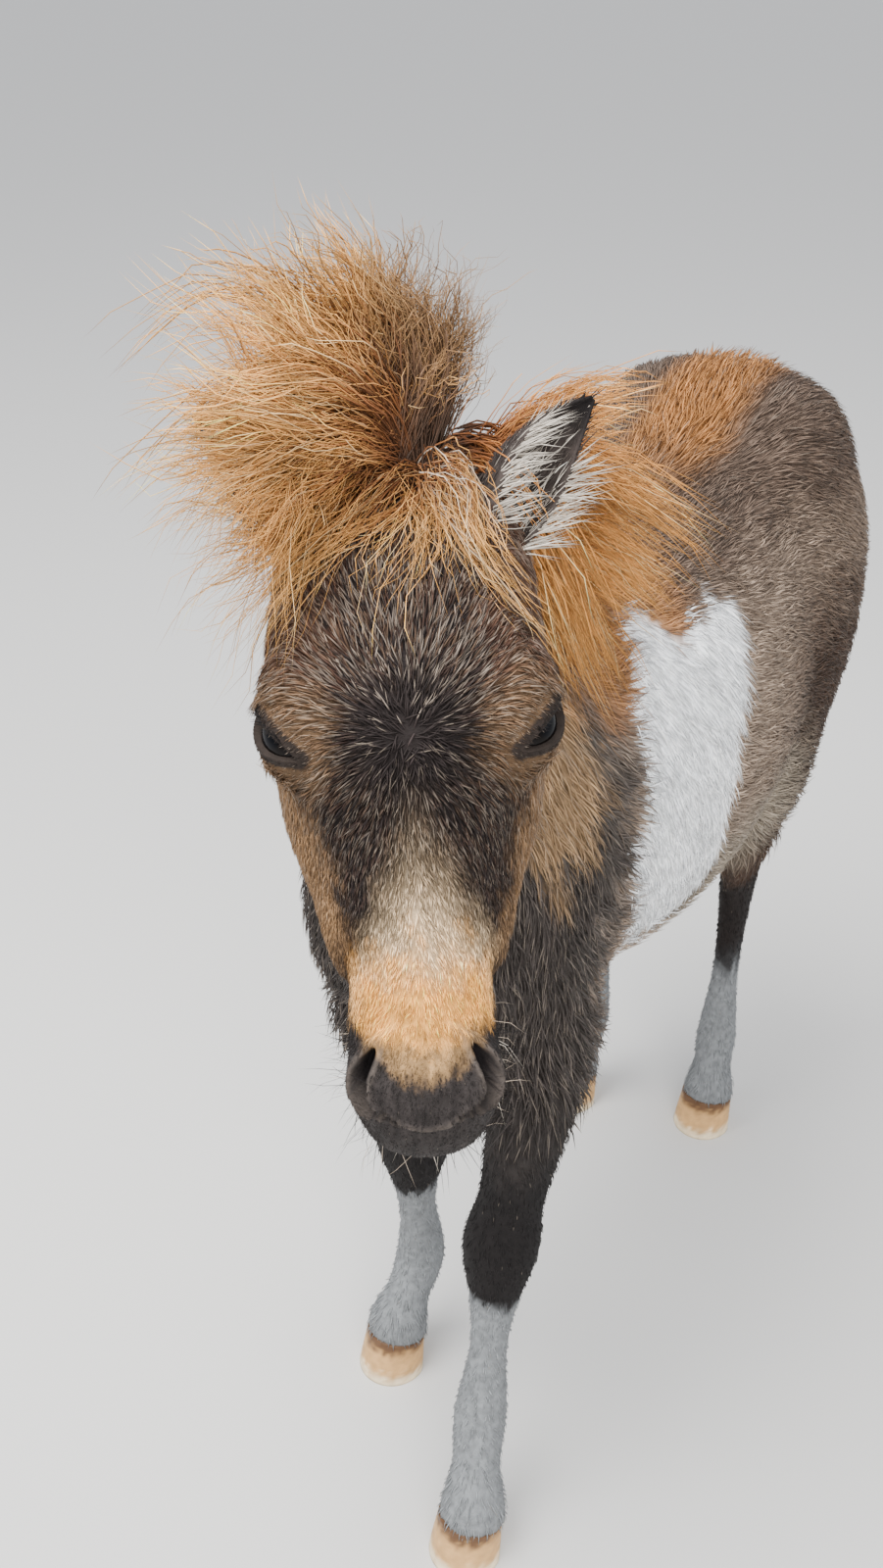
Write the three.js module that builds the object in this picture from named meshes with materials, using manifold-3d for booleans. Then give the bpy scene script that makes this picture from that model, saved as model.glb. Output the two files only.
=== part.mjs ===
// Shetland pony, a young piebald miniature standing with its head lowered and turned to its left.
// Millimetres, +Z up, -Y forward, +X on the pony's left. The origin is on the floor under the middle.
import * as THREE from "three";
import { mergeVertices } from "three/addons/utils/BufferGeometryUtils.js";
import Module from "manifold-3d";

const wasm = await Module();
wasm.setup();

// Driving sizes
const seamGap = 0.3;
const hoofWidth = 60;
const hoofToeHeight = 44;
const hoofHeelHeight = 27;
const eyeRadius = 18;
const earLength = 104;
const maneLength = 140;
const tailTip = 322;

// Pose of the head: how far it is turned to the left, reaches forward and leans
const headYaw = THREE.MathUtils.degToRad(29);
const headReach = THREE.MathUtils.degToRad(34.5);
const headLean = THREE.MathUtils.degToRad(3.5);
const pollPoint = new THREE.Vector3(45, -219, 920);

// A small seeded draw, so that every build gives the same locks
function seededDraw(seed) {
  let state = seed;
  return (low, high) => {
    state = (state * 1664525 + 1013904223) % 4294967296;
    return low + (high - low) * (state / 4294967296);
  };
}

const point = (x, y, z) => new THREE.Vector3(x, y, z);

// Head frame: down runs from the poll to the muzzle, out leaves the face, side points to the left
function headFrame() {
  const down = point(0, -Math.sin(headReach), -Math.cos(headReach));
  const out = point(0, -Math.cos(headReach), Math.sin(headReach));
  const side = point(1, 0, 0);
  const up = point(0, 0, 1);
  const axes = [down, out, side].map((axis) => axis.applyAxisAngle(up, headYaw));
  const outward = axes[1].clone();
  axes.forEach((axis) => axis.applyAxisAngle(outward, headLean));
  return new THREE.Matrix4().makeBasis(...axes).setPosition(pollPoint);
}
const headMatrix = headFrame();
const [headDown, headOut, headSide] = [0, 1, 2].map((column) =>
  new THREE.Vector3().setFromMatrixColumn(headMatrix, column));
const onHead = (down, out, side) => point(down, out, side).applyMatrix4(headMatrix);

// A tapering limb of elliptic sections. A station is [centre, half width, half depth].
function limb(stations, across, blend) {
  const centres = new THREE.CatmullRomCurve3(stations.map((s) => s[0]), false, "catmullrom", 0.5);
  const sizes = new THREE.CatmullRomCurve3(
    stations.map((s) => point(s[1], s[2], 0)), false, "catmullrom", 0.5);
  const steps = 3 * (stations.length - 1);
  const links = [];
  for (let i = 0; i < steps; i++) {
    const start = centres.getPoint(i / steps);
    const run = centres.getPoint((i + 1) / steps).sub(start);
    const length = run.length();
    const along = run.clone().divideScalar(length);
    const width = across.clone().addScaledVector(along, -across.dot(along)).normalize();
    const depth = along.clone().cross(width);
    const first = sizes.getPoint(i / steps);
    const last = sizes.getPoint((i + 1) / steps);
    links.push({ start, length, along, width, depth, first, last });
  }
  const q = new THREE.Vector3();
  const field = (p) => {
    let best = Infinity;
    for (const link of links) {
      q.copy(p).sub(link.start);
      const raw = q.dot(link.along);
      const t = Math.min(1, Math.max(0, raw / link.length));
      const halfWidth = link.first.x + (link.last.x - link.first.x) * t;
      const halfDepth = link.first.y + (link.last.y - link.first.y) * t;
      const cap = Math.min(halfWidth, halfDepth);
      const a = q.dot(link.width);
      const b = q.dot(link.depth);
      const c = raw - t * link.length;
      const near = Math.hypot(a / halfWidth, b / halfDepth, c / cap);
      const slope = Math.hypot(a / halfWidth ** 2, b / halfDepth ** 2, c / cap ** 2);
      const distance = slope > 1e-9 ? near * (near - 1) / slope : -cap;
      best = Math.min(best, distance);
    }
    return best;
  };
  return { field, blend };
}

// A muscle or a swelling: an ellipsoid on its own axes
function swelling(centre, radii, axes, blend) {
  const q = new THREE.Vector3();
  const field = (p) => {
    q.copy(p).sub(centre);
    const parts = axes.map((axis) => q.dot(axis));
    const near = Math.hypot(...parts.map((v, i) => v / radii[i]));
    const slope = Math.hypot(...parts.map((v, i) => v / radii[i] ** 2));
    return slope > 1e-9 ? near * (near - 1) / slope : -Math.min(...radii);
  };
  return { field, blend };
}

const worldAxes = [point(1, 0, 0), point(0, 1, 0), point(0, 0, 1)];
const headAxes = [headDown, headOut, headSide];
const tilted = (angle) => [
  point(1, 0, 0),
  point(0, Math.cos(angle), Math.sin(angle)),
  point(0, -Math.sin(angle), Math.cos(angle)),
];

// Trunk: sections along the spine, [y, height of the centre, half width, half height]
const trunkSections = [
  [-132, 590, 42, 76],
  [-88, 602, 82, 128],
  [0, 624, 112, 172],
  [80, 605, 136, 184],
  [190, 592, 152, 190],
  [300, 610, 142, 184],
  [375, 652, 124, 162],
  [440, 678, 114, 140],
  [500, 668, 82, 96],
];
const trunk = [
  limb(trunkSections.map(([y, z, w, h]) => [point(0, y, z), w, h]), worldAxes[0], 0),
  swelling(point(4, -124, 582), [50, 40, 72], worldAxes, 30),
];
for (const side of [-1, 1]) {
  trunk.push(swelling(point(side * 56, -66, 594), [38, 68, 124], tilted(-0.35), 36));
  trunk.push(swelling(point(side * 62, -36, 500), [40, 60, 84], worldAxes, 34));
  trunk.push(swelling(point(side * 76, 418, 600), [66, 108, 160], tilted(0.1), 50));
  trunk.push(swelling(point(side * 50, 405, 752), [60, 92, 62], worldAxes, 30));
  trunk.push(swelling(point(side * 92, 345, 505), [42, 60, 74], tilted(0.5), 45));
}

// Neck: from the chest up to the back of the skull, [centre, half width, half depth]
const neckSections = [
  [point(2, -54, 655), 60, 104],
  [point(10, -86, 718), 54, 90],
  [point(22, -118, 776), 51, 75],
  [point(32, -148, 828), 49, 63],
  [point(42, -184, 862), 47, 52],
];
const neck = [limb(neckSections, worldAxes[0], 36)];

// Head: [distance down the face, height of the centre over the face line, half width, half depth]
const skullSections = [
  [14, -40, 54, 42],
  [50, -28, 67, 49],
  [88, -20, 71, 52],
  [122, -19, 65, 52],
  [158, -23, 53, 49],
  [200, -26, 44, 46],
  [240, -29, 38, 43],
  [270, -31, 37, 40],
  [294, -33, 38, 36],
  [307, -36, 34, 28],
];
const jawSections = [
  [72, -84, 48, 38],
  [112, -90, 50, 38],
  [152, -84, 46, 33],
  [200, -70, 39, 28],
  [245, -62, 30, 24],
  [288, -60, 25, 18],
  [301, -58, 22, 15],
];
const alongHead = ([down, out, w, h]) => [onHead(down, out, 0), w, h];
const head = [
  limb(skullSections.map(alongHead), headSide, 30),
  limb(jawSections.map(alongHead), headSide, 16),
];

// The eyes: place of each ball on the head and the way it looks, each as down, out and side
const eyePlace = { down: 123, out: -2.3, side: 54.5 };
const eyeLook = { down: 0.05, out: 0.6, side: 0.8 };
const eyeCentre = (side) => onHead(eyePlace.down, eyePlace.out, side * eyePlace.side);

for (const side of [-1, 1]) {
  head.push(swelling(onHead(128, -62, side * 41), [76, 46, 30], headAxes, 22));
  head.push(swelling(onHead(106, 0, side * 56), [24, 17, 17], headAxes, 14));
  head.push(swelling(onHead(196, -44, side * 38), [46, 24, 14], headAxes, 16));
  head.push(swelling(onHead(293, -14, side * 27), [19, 15, 12], headAxes, 9));
  head.push(swelling(eyeCentre(side), Array(3).fill(eyeRadius - 1.5), headAxes, 6));
}

// Legs, from the body down to the coronet: [across, along, height, half width, half depth]
const frontSole = { left: point(77, -149, 0), right: point(-67, -18, 0) };
const hindSole = { left: point(65, 418, 0), right: point(-76, 383, 0) };
const frontKnee = { left: point(54, -63, 254), right: point(-62, 4, 254) };
const frontFetlock = { left: point(62, -102, 103), right: point(-62, 22, 103) };
const hindHock = { left: point(65, 430, 306), right: point(-62, 400, 306) };
const hindFetlock = { left: point(62, 440, 103), right: point(-68, 404, 103) };

const between = (a, b, t) => a.clone().lerp(b, t);
const shifted = (p, x, y, z) => p.clone().add(point(x, y, z));

function frontLeg(sideName) {
  const side = sideName === "left" ? 1 : -1;
  const knee = frontKnee[sideName];
  const fetlock = frontFetlock[sideName];
  const elbow = point(side * 70, -34, 452);
  const coronet = shifted(frontSole[sideName], 0, 9, 42);
  return limb([
    [elbow, 37, 56],
    [between(elbow, knee, 0.45), 32, 41],
    [between(elbow, knee, 0.78), 28, 31],
    [knee, 33, 34],
    [between(knee, fetlock, 0.28), 23, 26],
    [between(knee, fetlock, 0.6), 17, 22],
    [fetlock, 24, 26],
    [between(fetlock, coronet, 0.55), 22, 24],
    [coronet, 29, 30],
    [shifted(coronet, 0, 2, -30), 28, 30],
  ], worldAxes[0], 24);
}

function hindLeg(sideName) {
  const side = sideName === "left" ? 1 : -1;
  const hock = hindHock[sideName];
  const fetlock = hindFetlock[sideName];
  const stifle = point(side * 94, hock.y - 95, 500);
  const coronet = shifted(hindSole[sideName], 0, 9, 42);
  const leg = limb([
    [stifle, 38, 74],
    [between(stifle, hock, 0.45), 30, 52],
    [between(stifle, hock, 0.8), 20, 34],
    [hock, 19, 32],
    [between(hock, fetlock, 0.25), 16, 26],
    [between(hock, fetlock, 0.6), 15.5, 21],
    [fetlock, 23, 25],
    [between(fetlock, coronet, 0.55), 22, 24],
    [coronet, 28, 30],
    [shifted(coronet, 0, 2, -30), 27, 30],
  ], worldAxes[0], 24);
  const heelBone = swelling(shifted(hock, 0, 22, 16), [13, 17, 26], tilted(0.35), 14);
  return [leg, heelBone];
}

const legs = {
  leg_front_left: [frontLeg("left")],
  leg_front_right: [frontLeg("right")],
  leg_hind_left: hindLeg("left"),
  leg_hind_right: hindLeg("right"),
};

// Fields: the value is about the distance outside the coat, and negative inside
function blended(parts) {
  return (p) => {
    let value = parts[0].field(p);
    for (const part of parts.slice(1)) {
      const other = part.field(p);
      const mix = Math.max(part.blend - Math.abs(value - other), 0) / part.blend;
      value = Math.min(value, other) - mix * mix * part.blend / 4;
    }
    return value;
  };
}

// Closed mesh of a field, by a grid of cells in a frame of its own, drawn onto the true surface
function surface(field, frame, low, high, cell) {
  const count = [0, 1, 2].map((i) => Math.ceil((high[i] - low[i]) / cell[i]) + 1);
  const [nx, ny, nz] = count;
  const index = (i, j, k) => (i * ny + j) * nz + k;
  const corner = (i, j, k) => point(low[0] + i * cell[0], low[1] + j * cell[1], low[2] + k * cell[2])
    .applyMatrix4(frame);
  const value = new Float64Array(nx * ny * nz);
  const outside = 1;
  for (let i = 0; i < nx; i++) {
    for (let j = 0; j < ny; j++) {
      for (let k = 0; k < nz; k++) {
        const border = i * j * k === 0 || i === nx - 1 || j === ny - 1 || k === nz - 1;
        const here = field(corner(i, j, k));
        value[index(i, j, k)] = border ? Math.max(here, outside) : here;
      }
    }
  }
  const corners = [];
  for (let n = 0; n < 8; n++) corners.push([n & 1, (n >> 1) & 1, (n >> 2) & 1]);
  const edges = [];
  for (let a = 0; a < 8; a++) {
    for (const bit of [1, 2, 4]) if (!(a & bit)) edges.push([a, a | bit]);
  }
  const vertexOf = new Map();
  const positions = [];
  for (let i = 0; i < nx - 1; i++) {
    for (let j = 0; j < ny - 1; j++) {
      for (let k = 0; k < nz - 1; k++) {
        const here = corners.map(([a, b, c]) => value[index(i + a, j + b, k + c)]);
        const inside = here.filter((v) => v < 0).length;
        if (inside === 0 || inside === 8) continue;
        const sum = new THREE.Vector3();
        let crossings = 0;
        for (const [a, b] of edges) {
          if (here[a] < 0 === here[b] < 0) continue;
          const t = here[a] / (here[a] - here[b]);
          const from = corners[a];
          const to = corners[b];
          sum.add(point(...from.map((v, axis) => v + (to[axis] - v) * t)));
          crossings++;
        }
        sum.divideScalar(crossings);
        vertexOf.set(index(i, j, k), positions.length / 3);
        const world = corner(i + sum.x, j + sum.y, k + sum.z);
        const rim = i * j * k === 0 || i === nx - 2 || j === ny - 2 || k === nz - 2;
        if (!rim) settle(world, field, Math.min(...cell) / 2);
        positions.push(world.x, world.y, world.z);
      }
    }
  }
  const faces = [];
  const strides = [[0, 1, 2], [1, 2, 0], [2, 0, 1]];
  for (let i = 0; i < nx - 1; i++) {
    for (let j = 0; j < ny - 1; j++) {
      for (let k = 0; k < nz - 1; k++) {
        const cellAt = [i, j, k];
        const inside = value[index(i, j, k)] < 0;
        for (const [axis, u, v] of strides) {
          if (cellAt[u] === 0 || cellAt[v] === 0) continue;
          const next = cellAt.slice();
          next[axis]++;
          if (value[index(...next)] < 0 === inside) continue;
          const ring = [[0, 0], [1, 0], [1, 1], [0, 1]].map(([du, dv]) => {
            const c = cellAt.slice();
            c[u] -= du;
            c[v] -= dv;
            return vertexOf.get(index(...c));
          });
          if (!inside) ring.reverse();
          faces.push(ring[0], ring[1], ring[2], ring[0], ring[2], ring[3]);
        }
      }
    }
  }
  return solidFrom(positions, faces);
}

// Moves a point along the slope of the field until it lies on the surface
function settle(world, field, reach) {
  const step = 0.5;
  const start = world.clone();
  for (let pass = 0; pass < 3; pass++) {
    const here = field(world);
    const slope = point(0, 0, 0);
    for (const axis of worldAxes) {
      slope.addScaledVector(axis, (field(world.clone().addScaledVector(axis, step)) - here) / step);
    }
    world.addScaledVector(slope, -here / Math.max(slope.lengthSq(), 0.2));
  }
  if (world.distanceTo(start) > reach) world.lerpVectors(start, world, reach / world.distanceTo(start));
}

// Solids. A skin drawn with its faces pointing in is turned the right way out.
function solidFrom(positions, faces) {
  const vertex = (i) => point(positions[3 * i], positions[3 * i + 1], positions[3 * i + 2]);
  let volume = 0;
  for (let i = 0; i < faces.length; i += 3) {
    volume += vertex(faces[i]).dot(vertex(faces[i + 1]).cross(vertex(faces[i + 2])));
  }
  const mesh = new wasm.Mesh({
    numProp: 3,
    vertProperties: new Float32Array(positions),
    triVerts: new Uint32Array(volume < 0 ? Array.from(faces).reverse() : faces),
  });
  return new wasm.Manifold(mesh);
}

function solidOf(geometry) {
  const bare = geometry.clone();
  bare.deleteAttribute("normal");
  bare.deleteAttribute("uv");
  const merged = mergeVertices(bare, 1e-4);
  return solidFrom(merged.attributes.position.array, merged.index.array);
}

function geometryOf(solid) {
  const mesh = solid.getMesh();
  const geometry = new THREE.BufferGeometry();
  geometry.setAttribute("position", new THREE.BufferAttribute(new Float32Array(mesh.vertProperties), 3));
  geometry.setIndex(new THREE.BufferAttribute(new Uint32Array(mesh.triVerts), 1));
  return geometry;
}

function largest(solid) {
  return solid.decompose().reduce((a, b) => (b.volume() > a.volume() ? b : a));
}

// Joins the corners that a cut leaves closer together than can be seen
const weldReaches = [0.25, 0.15, 0.08, 0.04, 0.02, 0.01];

function welded(solid) {
  for (const reach of weldReaches) {
    const merged = mergeVertices(geometryOf(solid), reach);
    const index = merged.index.array;
    const kept = [];
    for (let i = 0; i < index.length; i += 3) {
      const [a, b, c] = index.slice(i, i + 3);
      if (a !== b && b !== c && a !== c) kept.push(a, b, c);
    }
    const joined = tried(merged.attributes.position.array, kept);
    if (joined && joined.decompose().length === 1) return joined;
  }
  return solid;
}

// True if two faces meet at every edge, also where corners fall together
function everyEdgeTwice(solid) {
  const index = mergeVertices(geometryOf(solid), 1e-3).index.array;
  const meeting = new Map();
  for (let i = 0; i < index.length; i += 3) {
    for (let k = 0; k < 3; k++) {
      const ends = [index[i + k], index[i + (k + 1) % 3]].sort((a, b) => a - b);
      meeting.set(ends.join(), (meeting.get(ends.join()) ?? 0) + 1);
    }
  }
  return [...meeting.values()].every((count) => count === 2);
}

// The first of several seeded draws whose locks join into a sound solid
function firstSound(make) {
  const seeds = 30;
  for (let seed = 1; seed <= seeds; seed++) {
    const solid = welded(make(seed));
    if (everyEdgeTwice(solid)) return solid;
  }
  throw new Error("no draw of these locks gives a sound solid");
}

function tried(positions, faces) {
  try {
    return solidFrom(positions, faces);
  } catch {
    return null;
  }
}

// The same solid a little larger on every face, used to cut its neighbours clear of it
function swollen(solid, gap) {
  const geometry = geometryOf(solid);
  const position = geometry.attributes.position;
  const index = geometry.index.array;
  const at = (i) => new THREE.Vector3().fromBufferAttribute(position, i);
  const facing = Array.from({ length: position.count }, () => []);
  for (let i = 0; i < index.length; i += 3) {
    const triangle = new THREE.Triangle(at(index[i]), at(index[i + 1]), at(index[i + 2]));
    if (triangle.getArea() < 1e-6) continue;
    const normal = triangle.getNormal(new THREE.Vector3());
    for (let k = 0; k < 3; k++) facing[index[i + k]].push(normal);
  }
  const passes = 10;
  const moved = facing.map((normals, i) => {
    const shift = point(0, 0, 0);
    for (let pass = 0; pass < passes; pass++) {
      for (const normal of normals) {
        shift.addScaledVector(normal, Math.max(0, gap - shift.dot(normal)));
      }
    }
    return at(i).add(shift.clampLength(0, 4 * gap));
  });
  return solidFrom(moved.flatMap((p) => p.toArray()), index);
}

function boxBetween(low, high) {
  const size = high.map((v, i) => v - low[i]);
  const box = new THREE.BoxGeometry(...size);
  box.translate(...low.map((v, i) => v + size[i] / 2));
  return solidOf(box);
}

// A closed skin over rings with the same number of points, flat or pointed at its ends
function loft(rings) {
  const size = rings[0].length;
  const positions = rings.flat().flatMap((p) => [p.x, p.y, p.z]);
  const faces = [];
  for (let r = 0; r < rings.length - 1; r++) {
    for (let i = 0; i < size; i++) {
      const a = r * size + i;
      const b = r * size + (i + 1) % size;
      faces.push(a, b, b + size, a, b + size, a + size);
    }
  }
  for (const [ring, flip] of [[0, true], [rings.length - 1, false]]) {
    const centre = rings[ring].reduce((sum, p) => sum.add(p), point(0, 0, 0)).divideScalar(size);
    const hub = positions.length / 3;
    positions.push(centre.x, centre.y, centre.z);
    for (let i = 0; i < size; i++) {
      const a = ring * size + i;
      const b = ring * size + (i + 1) % size;
      faces.push(...(flip ? [hub, b, a] : [hub, a, b]));
    }
  }
  const geometry = new THREE.BufferGeometry();
  geometry.setAttribute("position", new THREE.Float32BufferAttribute(positions, 3));
  geometry.setIndex(faces);
  return solidOf(geometry);
}

const identity = new THREE.Matrix4();

// Planes that part the body
const neckCut = { normal: point(0.1, -0.78, 0.62).normalize(), through: point(0, -78, 690) };
const headCut = {
  normal: headDown.clone().multiplyScalar(135).addScaledVector(headOut, 82).normalize(),
  through: onHead(-12, 0, 0),
};
const frontLegCut = 440;
const hindLegCut = 452;

// The throat plane, behind the jaw: with the cut above it bounds the room that the head takes
const throatCut = { normal: headOut, through: onHead(60, -133, 0) };

function keepBeyond(solid, cut, gap) {
  const offset = cut.through.dot(cut.normal) + gap;
  return solid.trimByPlane(cut.normal.toArray(), offset);
}

function keepBefore(solid, cut, gap) {
  const offset = -(cut.through.dot(cut.normal) - gap);
  return solid.trimByPlane(cut.normal.clone().negate().toArray(), offset);
}

// Boxes in which each leg is cut free of the trunk
const legRooms = {
  leg_front_left: { low: [16, -210, -30], high: [128, 44, frontLegCut] },
  leg_front_right: { low: [-128, -110, -30], high: [-16, 62, frontLegCut] },
  leg_hind_left: { low: [14, 318, -30], high: [150, 520, hindLegCut] },
  leg_hind_right: { low: [-150, 296, -30], high: [-14, 500, hindLegCut] },
};

function makeTrunk() {
  const field = blended([...trunk, ...neck, ...Object.values(legs).flat()]);
  const raw = surface(field, identity, [-190, -245, 380], [190, 560, 850], [32, 40, 31]);
  let solid = keepBefore(raw, neckCut, seamGap / 2);
  for (const room of Object.values(legRooms)) {
    const low = room.low.map((v) => v - seamGap / 2);
    const high = room.high.map((v) => v + seamGap / 2);
    solid = solid.subtract(boxBetween(low, high));
  }
  return largest(solid);
}

function makeNeck() {
  const field = blended([...trunk, ...neck, ...head]);
  const along = neckCut.normal.clone();
  const across = worldAxes[0].clone().addScaledVector(along, -along.x).normalize();
  const depth = along.clone().cross(across);
  const frame = new THREE.Matrix4().makeBasis(across, depth, along).setPosition(neckCut.through);
  const raw = surface(field, frame, [-130, -200, -30], [140, 200, 290], [19, 21, 23]);
  return largest(keepBeyond(raw, neckCut, seamGap / 2).subtract(headRoom(-seamGap / 2)));
}

// The room in front of the cuts behind the poll and the jaw
function headRoom(gap) {
  const block = boxBetween([-300, -600, 500], [400, 100, 1200]);
  return keepBeyond(keepBeyond(block, headCut, gap), throatCut, gap);
}

// Eyes: each ball looks out and forward between two lids that bulge from the side of the brow
const eyeInner = { down: 0.69, out: 0.56, side: -0.46 };
const inHeadAxes = (way, side) => headDown.clone().multiplyScalar(way.down)
  .addScaledVector(headOut, way.out)
  .addScaledVector(headSide, side * way.side)
  .normalize();
const lookTo = (side) => inHeadAxes(eyeLook, side);

// A lid: a band of skin over the ball, from the edge of the slit out to the head
const lids = {
  upper: { toward: 1, open: 0.12, brim: 3, spread: 1.5 },
  lower: { toward: -1, open: 0.34, brim: 2.4, spread: 1.5 },
};
const lidOverlap = 0.05;
const lidCorner = 1.35;
const slitCorner = 1.05;

function eyelid(side, lid) {
  const centre = eyeCentre(side);
  const look = lookTo(side);
  const inner = inHeadAxes(eyeInner, side);
  inner.addScaledVector(look, -inner.dot(look)).normalize();
  const raise = look.clone().cross(inner).multiplyScalar(-side * lid.toward);
  const onBall = (turn, lift, radius) => centre.clone()
    .addScaledVector(look, radius * Math.cos(turn) * Math.cos(lift))
    .addScaledVector(inner, radius * Math.sin(turn) * Math.cos(lift))
    .addScaledVector(raise, radius * Math.sin(lift));
  const rings = [];
  const steps = 8;
  for (let i = 0; i <= steps; i++) {
    const turn = lidCorner * (2 * i / steps - 1);
    const bulge = Math.max(0, 1 - (turn / slitCorner) ** 2);
    const edge = lid.open * bulge - lidOverlap;
    const brim = eyeRadius + lid.brim * (0.8 + 0.2 * bulge);
    const spread = edge + lid.spread * (0.6 + 0.4 * bulge);
    rings.push([
      onBall(turn, edge, eyeRadius - 2),
      onBall(turn, edge, brim - 0.6),
      onBall(turn, edge + 0.3 * (spread - edge), brim + 0.8),
      onBall(turn, edge + 0.65 * (spread - edge), brim + 1),
      onBall(turn, spread, brim - 0.6),
      onBall(turn, spread, eyeRadius - 4),
    ]);
  }
  return loft(rings);
}

// The nostril: a comma shaped cup sunk in the muzzle
function nostril(side) {
  const rings = [];
  const rim = onHead(301, -13, side * 31);
  const inward = headDown.clone().multiplyScalar(-0.75).addScaledVector(headOut, -0.28)
    .addScaledVector(headSide, -side * 0.55).normalize();
  const long = headOut.clone().multiplyScalar(0.86).addScaledVector(headSide, -side * 0.5);
  long.addScaledVector(inward, -long.dot(inward)).normalize();
  const short = inward.clone().cross(long);
  for (const [depth, scale] of [[-14, 1.35], [0, 1], [9, 0.75], [16, 0.35]]) {
    const centre = rim.clone().addScaledVector(inward, depth);
    const ring = [];
    for (let i = 0; i < 8; i++) {
      const angle = i / 8 * 2 * Math.PI;
      const wide = 5.2 * (1 + 0.35 * Math.cos(angle));
      ring.push(centre.clone()
        .addScaledVector(long, 10.5 * scale * Math.cos(angle))
        .addScaledVector(short, wide * scale * Math.sin(angle)));
    }
    rings.push(ring);
  }
  return loft(rings);
}

// The line of the mouth: a thin wedge that runs round the muzzle between the lips
function mouthLine() {
  const cornerDown = 258;
  const lipOut = -54;
  const reach = 62;
  const halfMouth = 46;
  const half = 2.2;
  const rings = [];
  const steps = 12;
  for (let i = 0; i <= steps; i++) {
    const turn = Math.PI * (i / steps - 0.5);
    const down = cornerDown + reach * Math.cos(turn);
    const side = halfMouth * Math.sin(turn);
    const outer = onHead(down + 6 * Math.cos(turn), lipOut + 6 * Math.cos(turn), side * 1.15);
    const inner = onHead(down - 22 * Math.cos(turn), lipOut - 1, side * 0.55);
    rings.push([
      inner,
      outer.clone().addScaledVector(headOut, -half),
      outer.clone().addScaledVector(headOut, half),
    ]);
  }
  return loft(rings);
}

function eyeBall(side, radius) {
  const ball = new THREE.SphereGeometry(radius, 12, 8);
  ball.applyMatrix4(headMatrix.clone().setPosition(eyeCentre(side)));
  return solidOf(ball);
}

function makeHead() {
  const field = blended([...trunk, ...neck, ...head]);
  const raw = surface(field, headMatrix, [-45, -165, -90], [345, 65, 90], [14.5, 12, 12]);
  let solid = largest(raw.intersect(headRoom(seamGap / 2)));
  for (const side of [-1, 1]) {
    solid = solid.add(eyelid(side, lids.upper)).add(eyelid(side, lids.lower));
  }
  for (const side of [-1, 1]) {
    solid = solid.subtract(eyeBall(side, eyeRadius + 1.2 * seamGap)).subtract(nostril(side));
  }
  return largest(solid.subtract(mouthLine()));
}

// Ears: a leaf shaped cup whose opening faces forward and out
function makeEar(side) {
  const base = onHead(28, -24, side * 42);
  const axis = headDown.clone().multiplyScalar(-0.77)
    .addScaledVector(headSide, side * 0.61)
    .addScaledVector(headOut, -0.18)
    .normalize();
  const open = headOut.clone().multiplyScalar(0.72).addScaledVector(headSide, side * 0.7);
  open.addScaledVector(axis, -open.dot(axis)).normalize();
  const broad = axis.clone().cross(open);
  const wall = 3;
  const arcSteps = 6;
  const rings = [];
  const stations = [[-36, 15, 2.7], [0, 18, 2.6], [22, 21, 2.2], [46, 22, 1.9], [70, 18, 1.6],
    [90, 10, 1.4], [earLength, 3, 1.3]];
  for (const [height, radius, spread] of stations) {
    const bow = 10 * Math.sin(Math.PI * Math.max(0, height) / earLength);
    const centre = base.clone().addScaledVector(axis, height).addScaledVector(open, -bow * 0.4);
    const inner = Math.max(radius - wall, 0.4 * radius);
    const arc = (r, t) => centre.clone()
      .addScaledVector(open, -r * Math.cos(spread * t))
      .addScaledVector(broad, r * Math.sin(spread * t));
    const ring = [];
    for (let i = 0; i <= arcSteps; i++) ring.push(arc(radius, 2 * i / arcSteps - 1));
    for (let i = arcSteps; i >= 0; i--) ring.push(arc(inner, 2 * i / arcSteps - 1));
    rings.push(ring);
  }
  return crescentLoft(rings, arcSteps + 1);
}

// A loft of crescents: the first half of each ring is its outer arc, the rest runs back inside
function crescentLoft(rings, half) {
  const size = 2 * half;
  const positions = rings.flat().flatMap((p) => [p.x, p.y, p.z]);
  const faces = [];
  for (let r = 0; r < rings.length - 1; r++) {
    for (let i = 0; i < size; i++) {
      const a = r * size + i;
      const b = r * size + (i + 1) % size;
      faces.push(a, b, b + size, a, b + size, a + size);
    }
  }
  for (const [first, flip] of [[0, true], [(rings.length - 1) * size, false]]) {
    for (let i = 0; i < half - 1; i++) {
      const quad = [first + i, first + i + 1, first + size - 2 - i, first + size - 1 - i];
      if (flip) quad.reverse();
      faces.push(quad[0], quad[1], quad[2], quad[0], quad[2], quad[3]);
    }
  }
  const geometry = new THREE.BufferGeometry();
  geometry.setAttribute("position", new THREE.Float32BufferAttribute(positions, 3));
  geometry.setIndex(faces);
  return solidOf(geometry);
}

// Hooves: a rounded toe, a sloping front wall and a flat sole on the floor
function hoofRing(sole, height, grow, slope) {
  const ring = [];
  const points = 14;
  const slant = (hoofToeHeight - hoofHeelHeight) / hoofWidth;
  for (let i = 0; i < points; i++) {
    const angle = i / points * 2 * Math.PI;
    const across = Math.sin(angle);
    const along = -Math.cos(angle);
    const heel = along > 0 ? 0.82 : 1.04;
    const y = hoofWidth / 2 * grow * along * heel + slope;
    const z = height > 0 ? height - slant * y : 0;
    ring.push(shifted(sole, hoofWidth / 2 * grow * across * (1 - 0.12 * Math.max(along, 0)), y, z));
  }
  return ring;
}

const coronetHeight = (hoofToeHeight + hoofHeelHeight) / 2;
const coronetSlope = (hoofToeHeight - hoofHeelHeight) / hoofWidth;

function coronetCut(sole) {
  return {
    normal: point(0, coronetSlope, 1).normalize(),
    through: shifted(sole, 0, 0, coronetHeight),
  };
}

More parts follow.
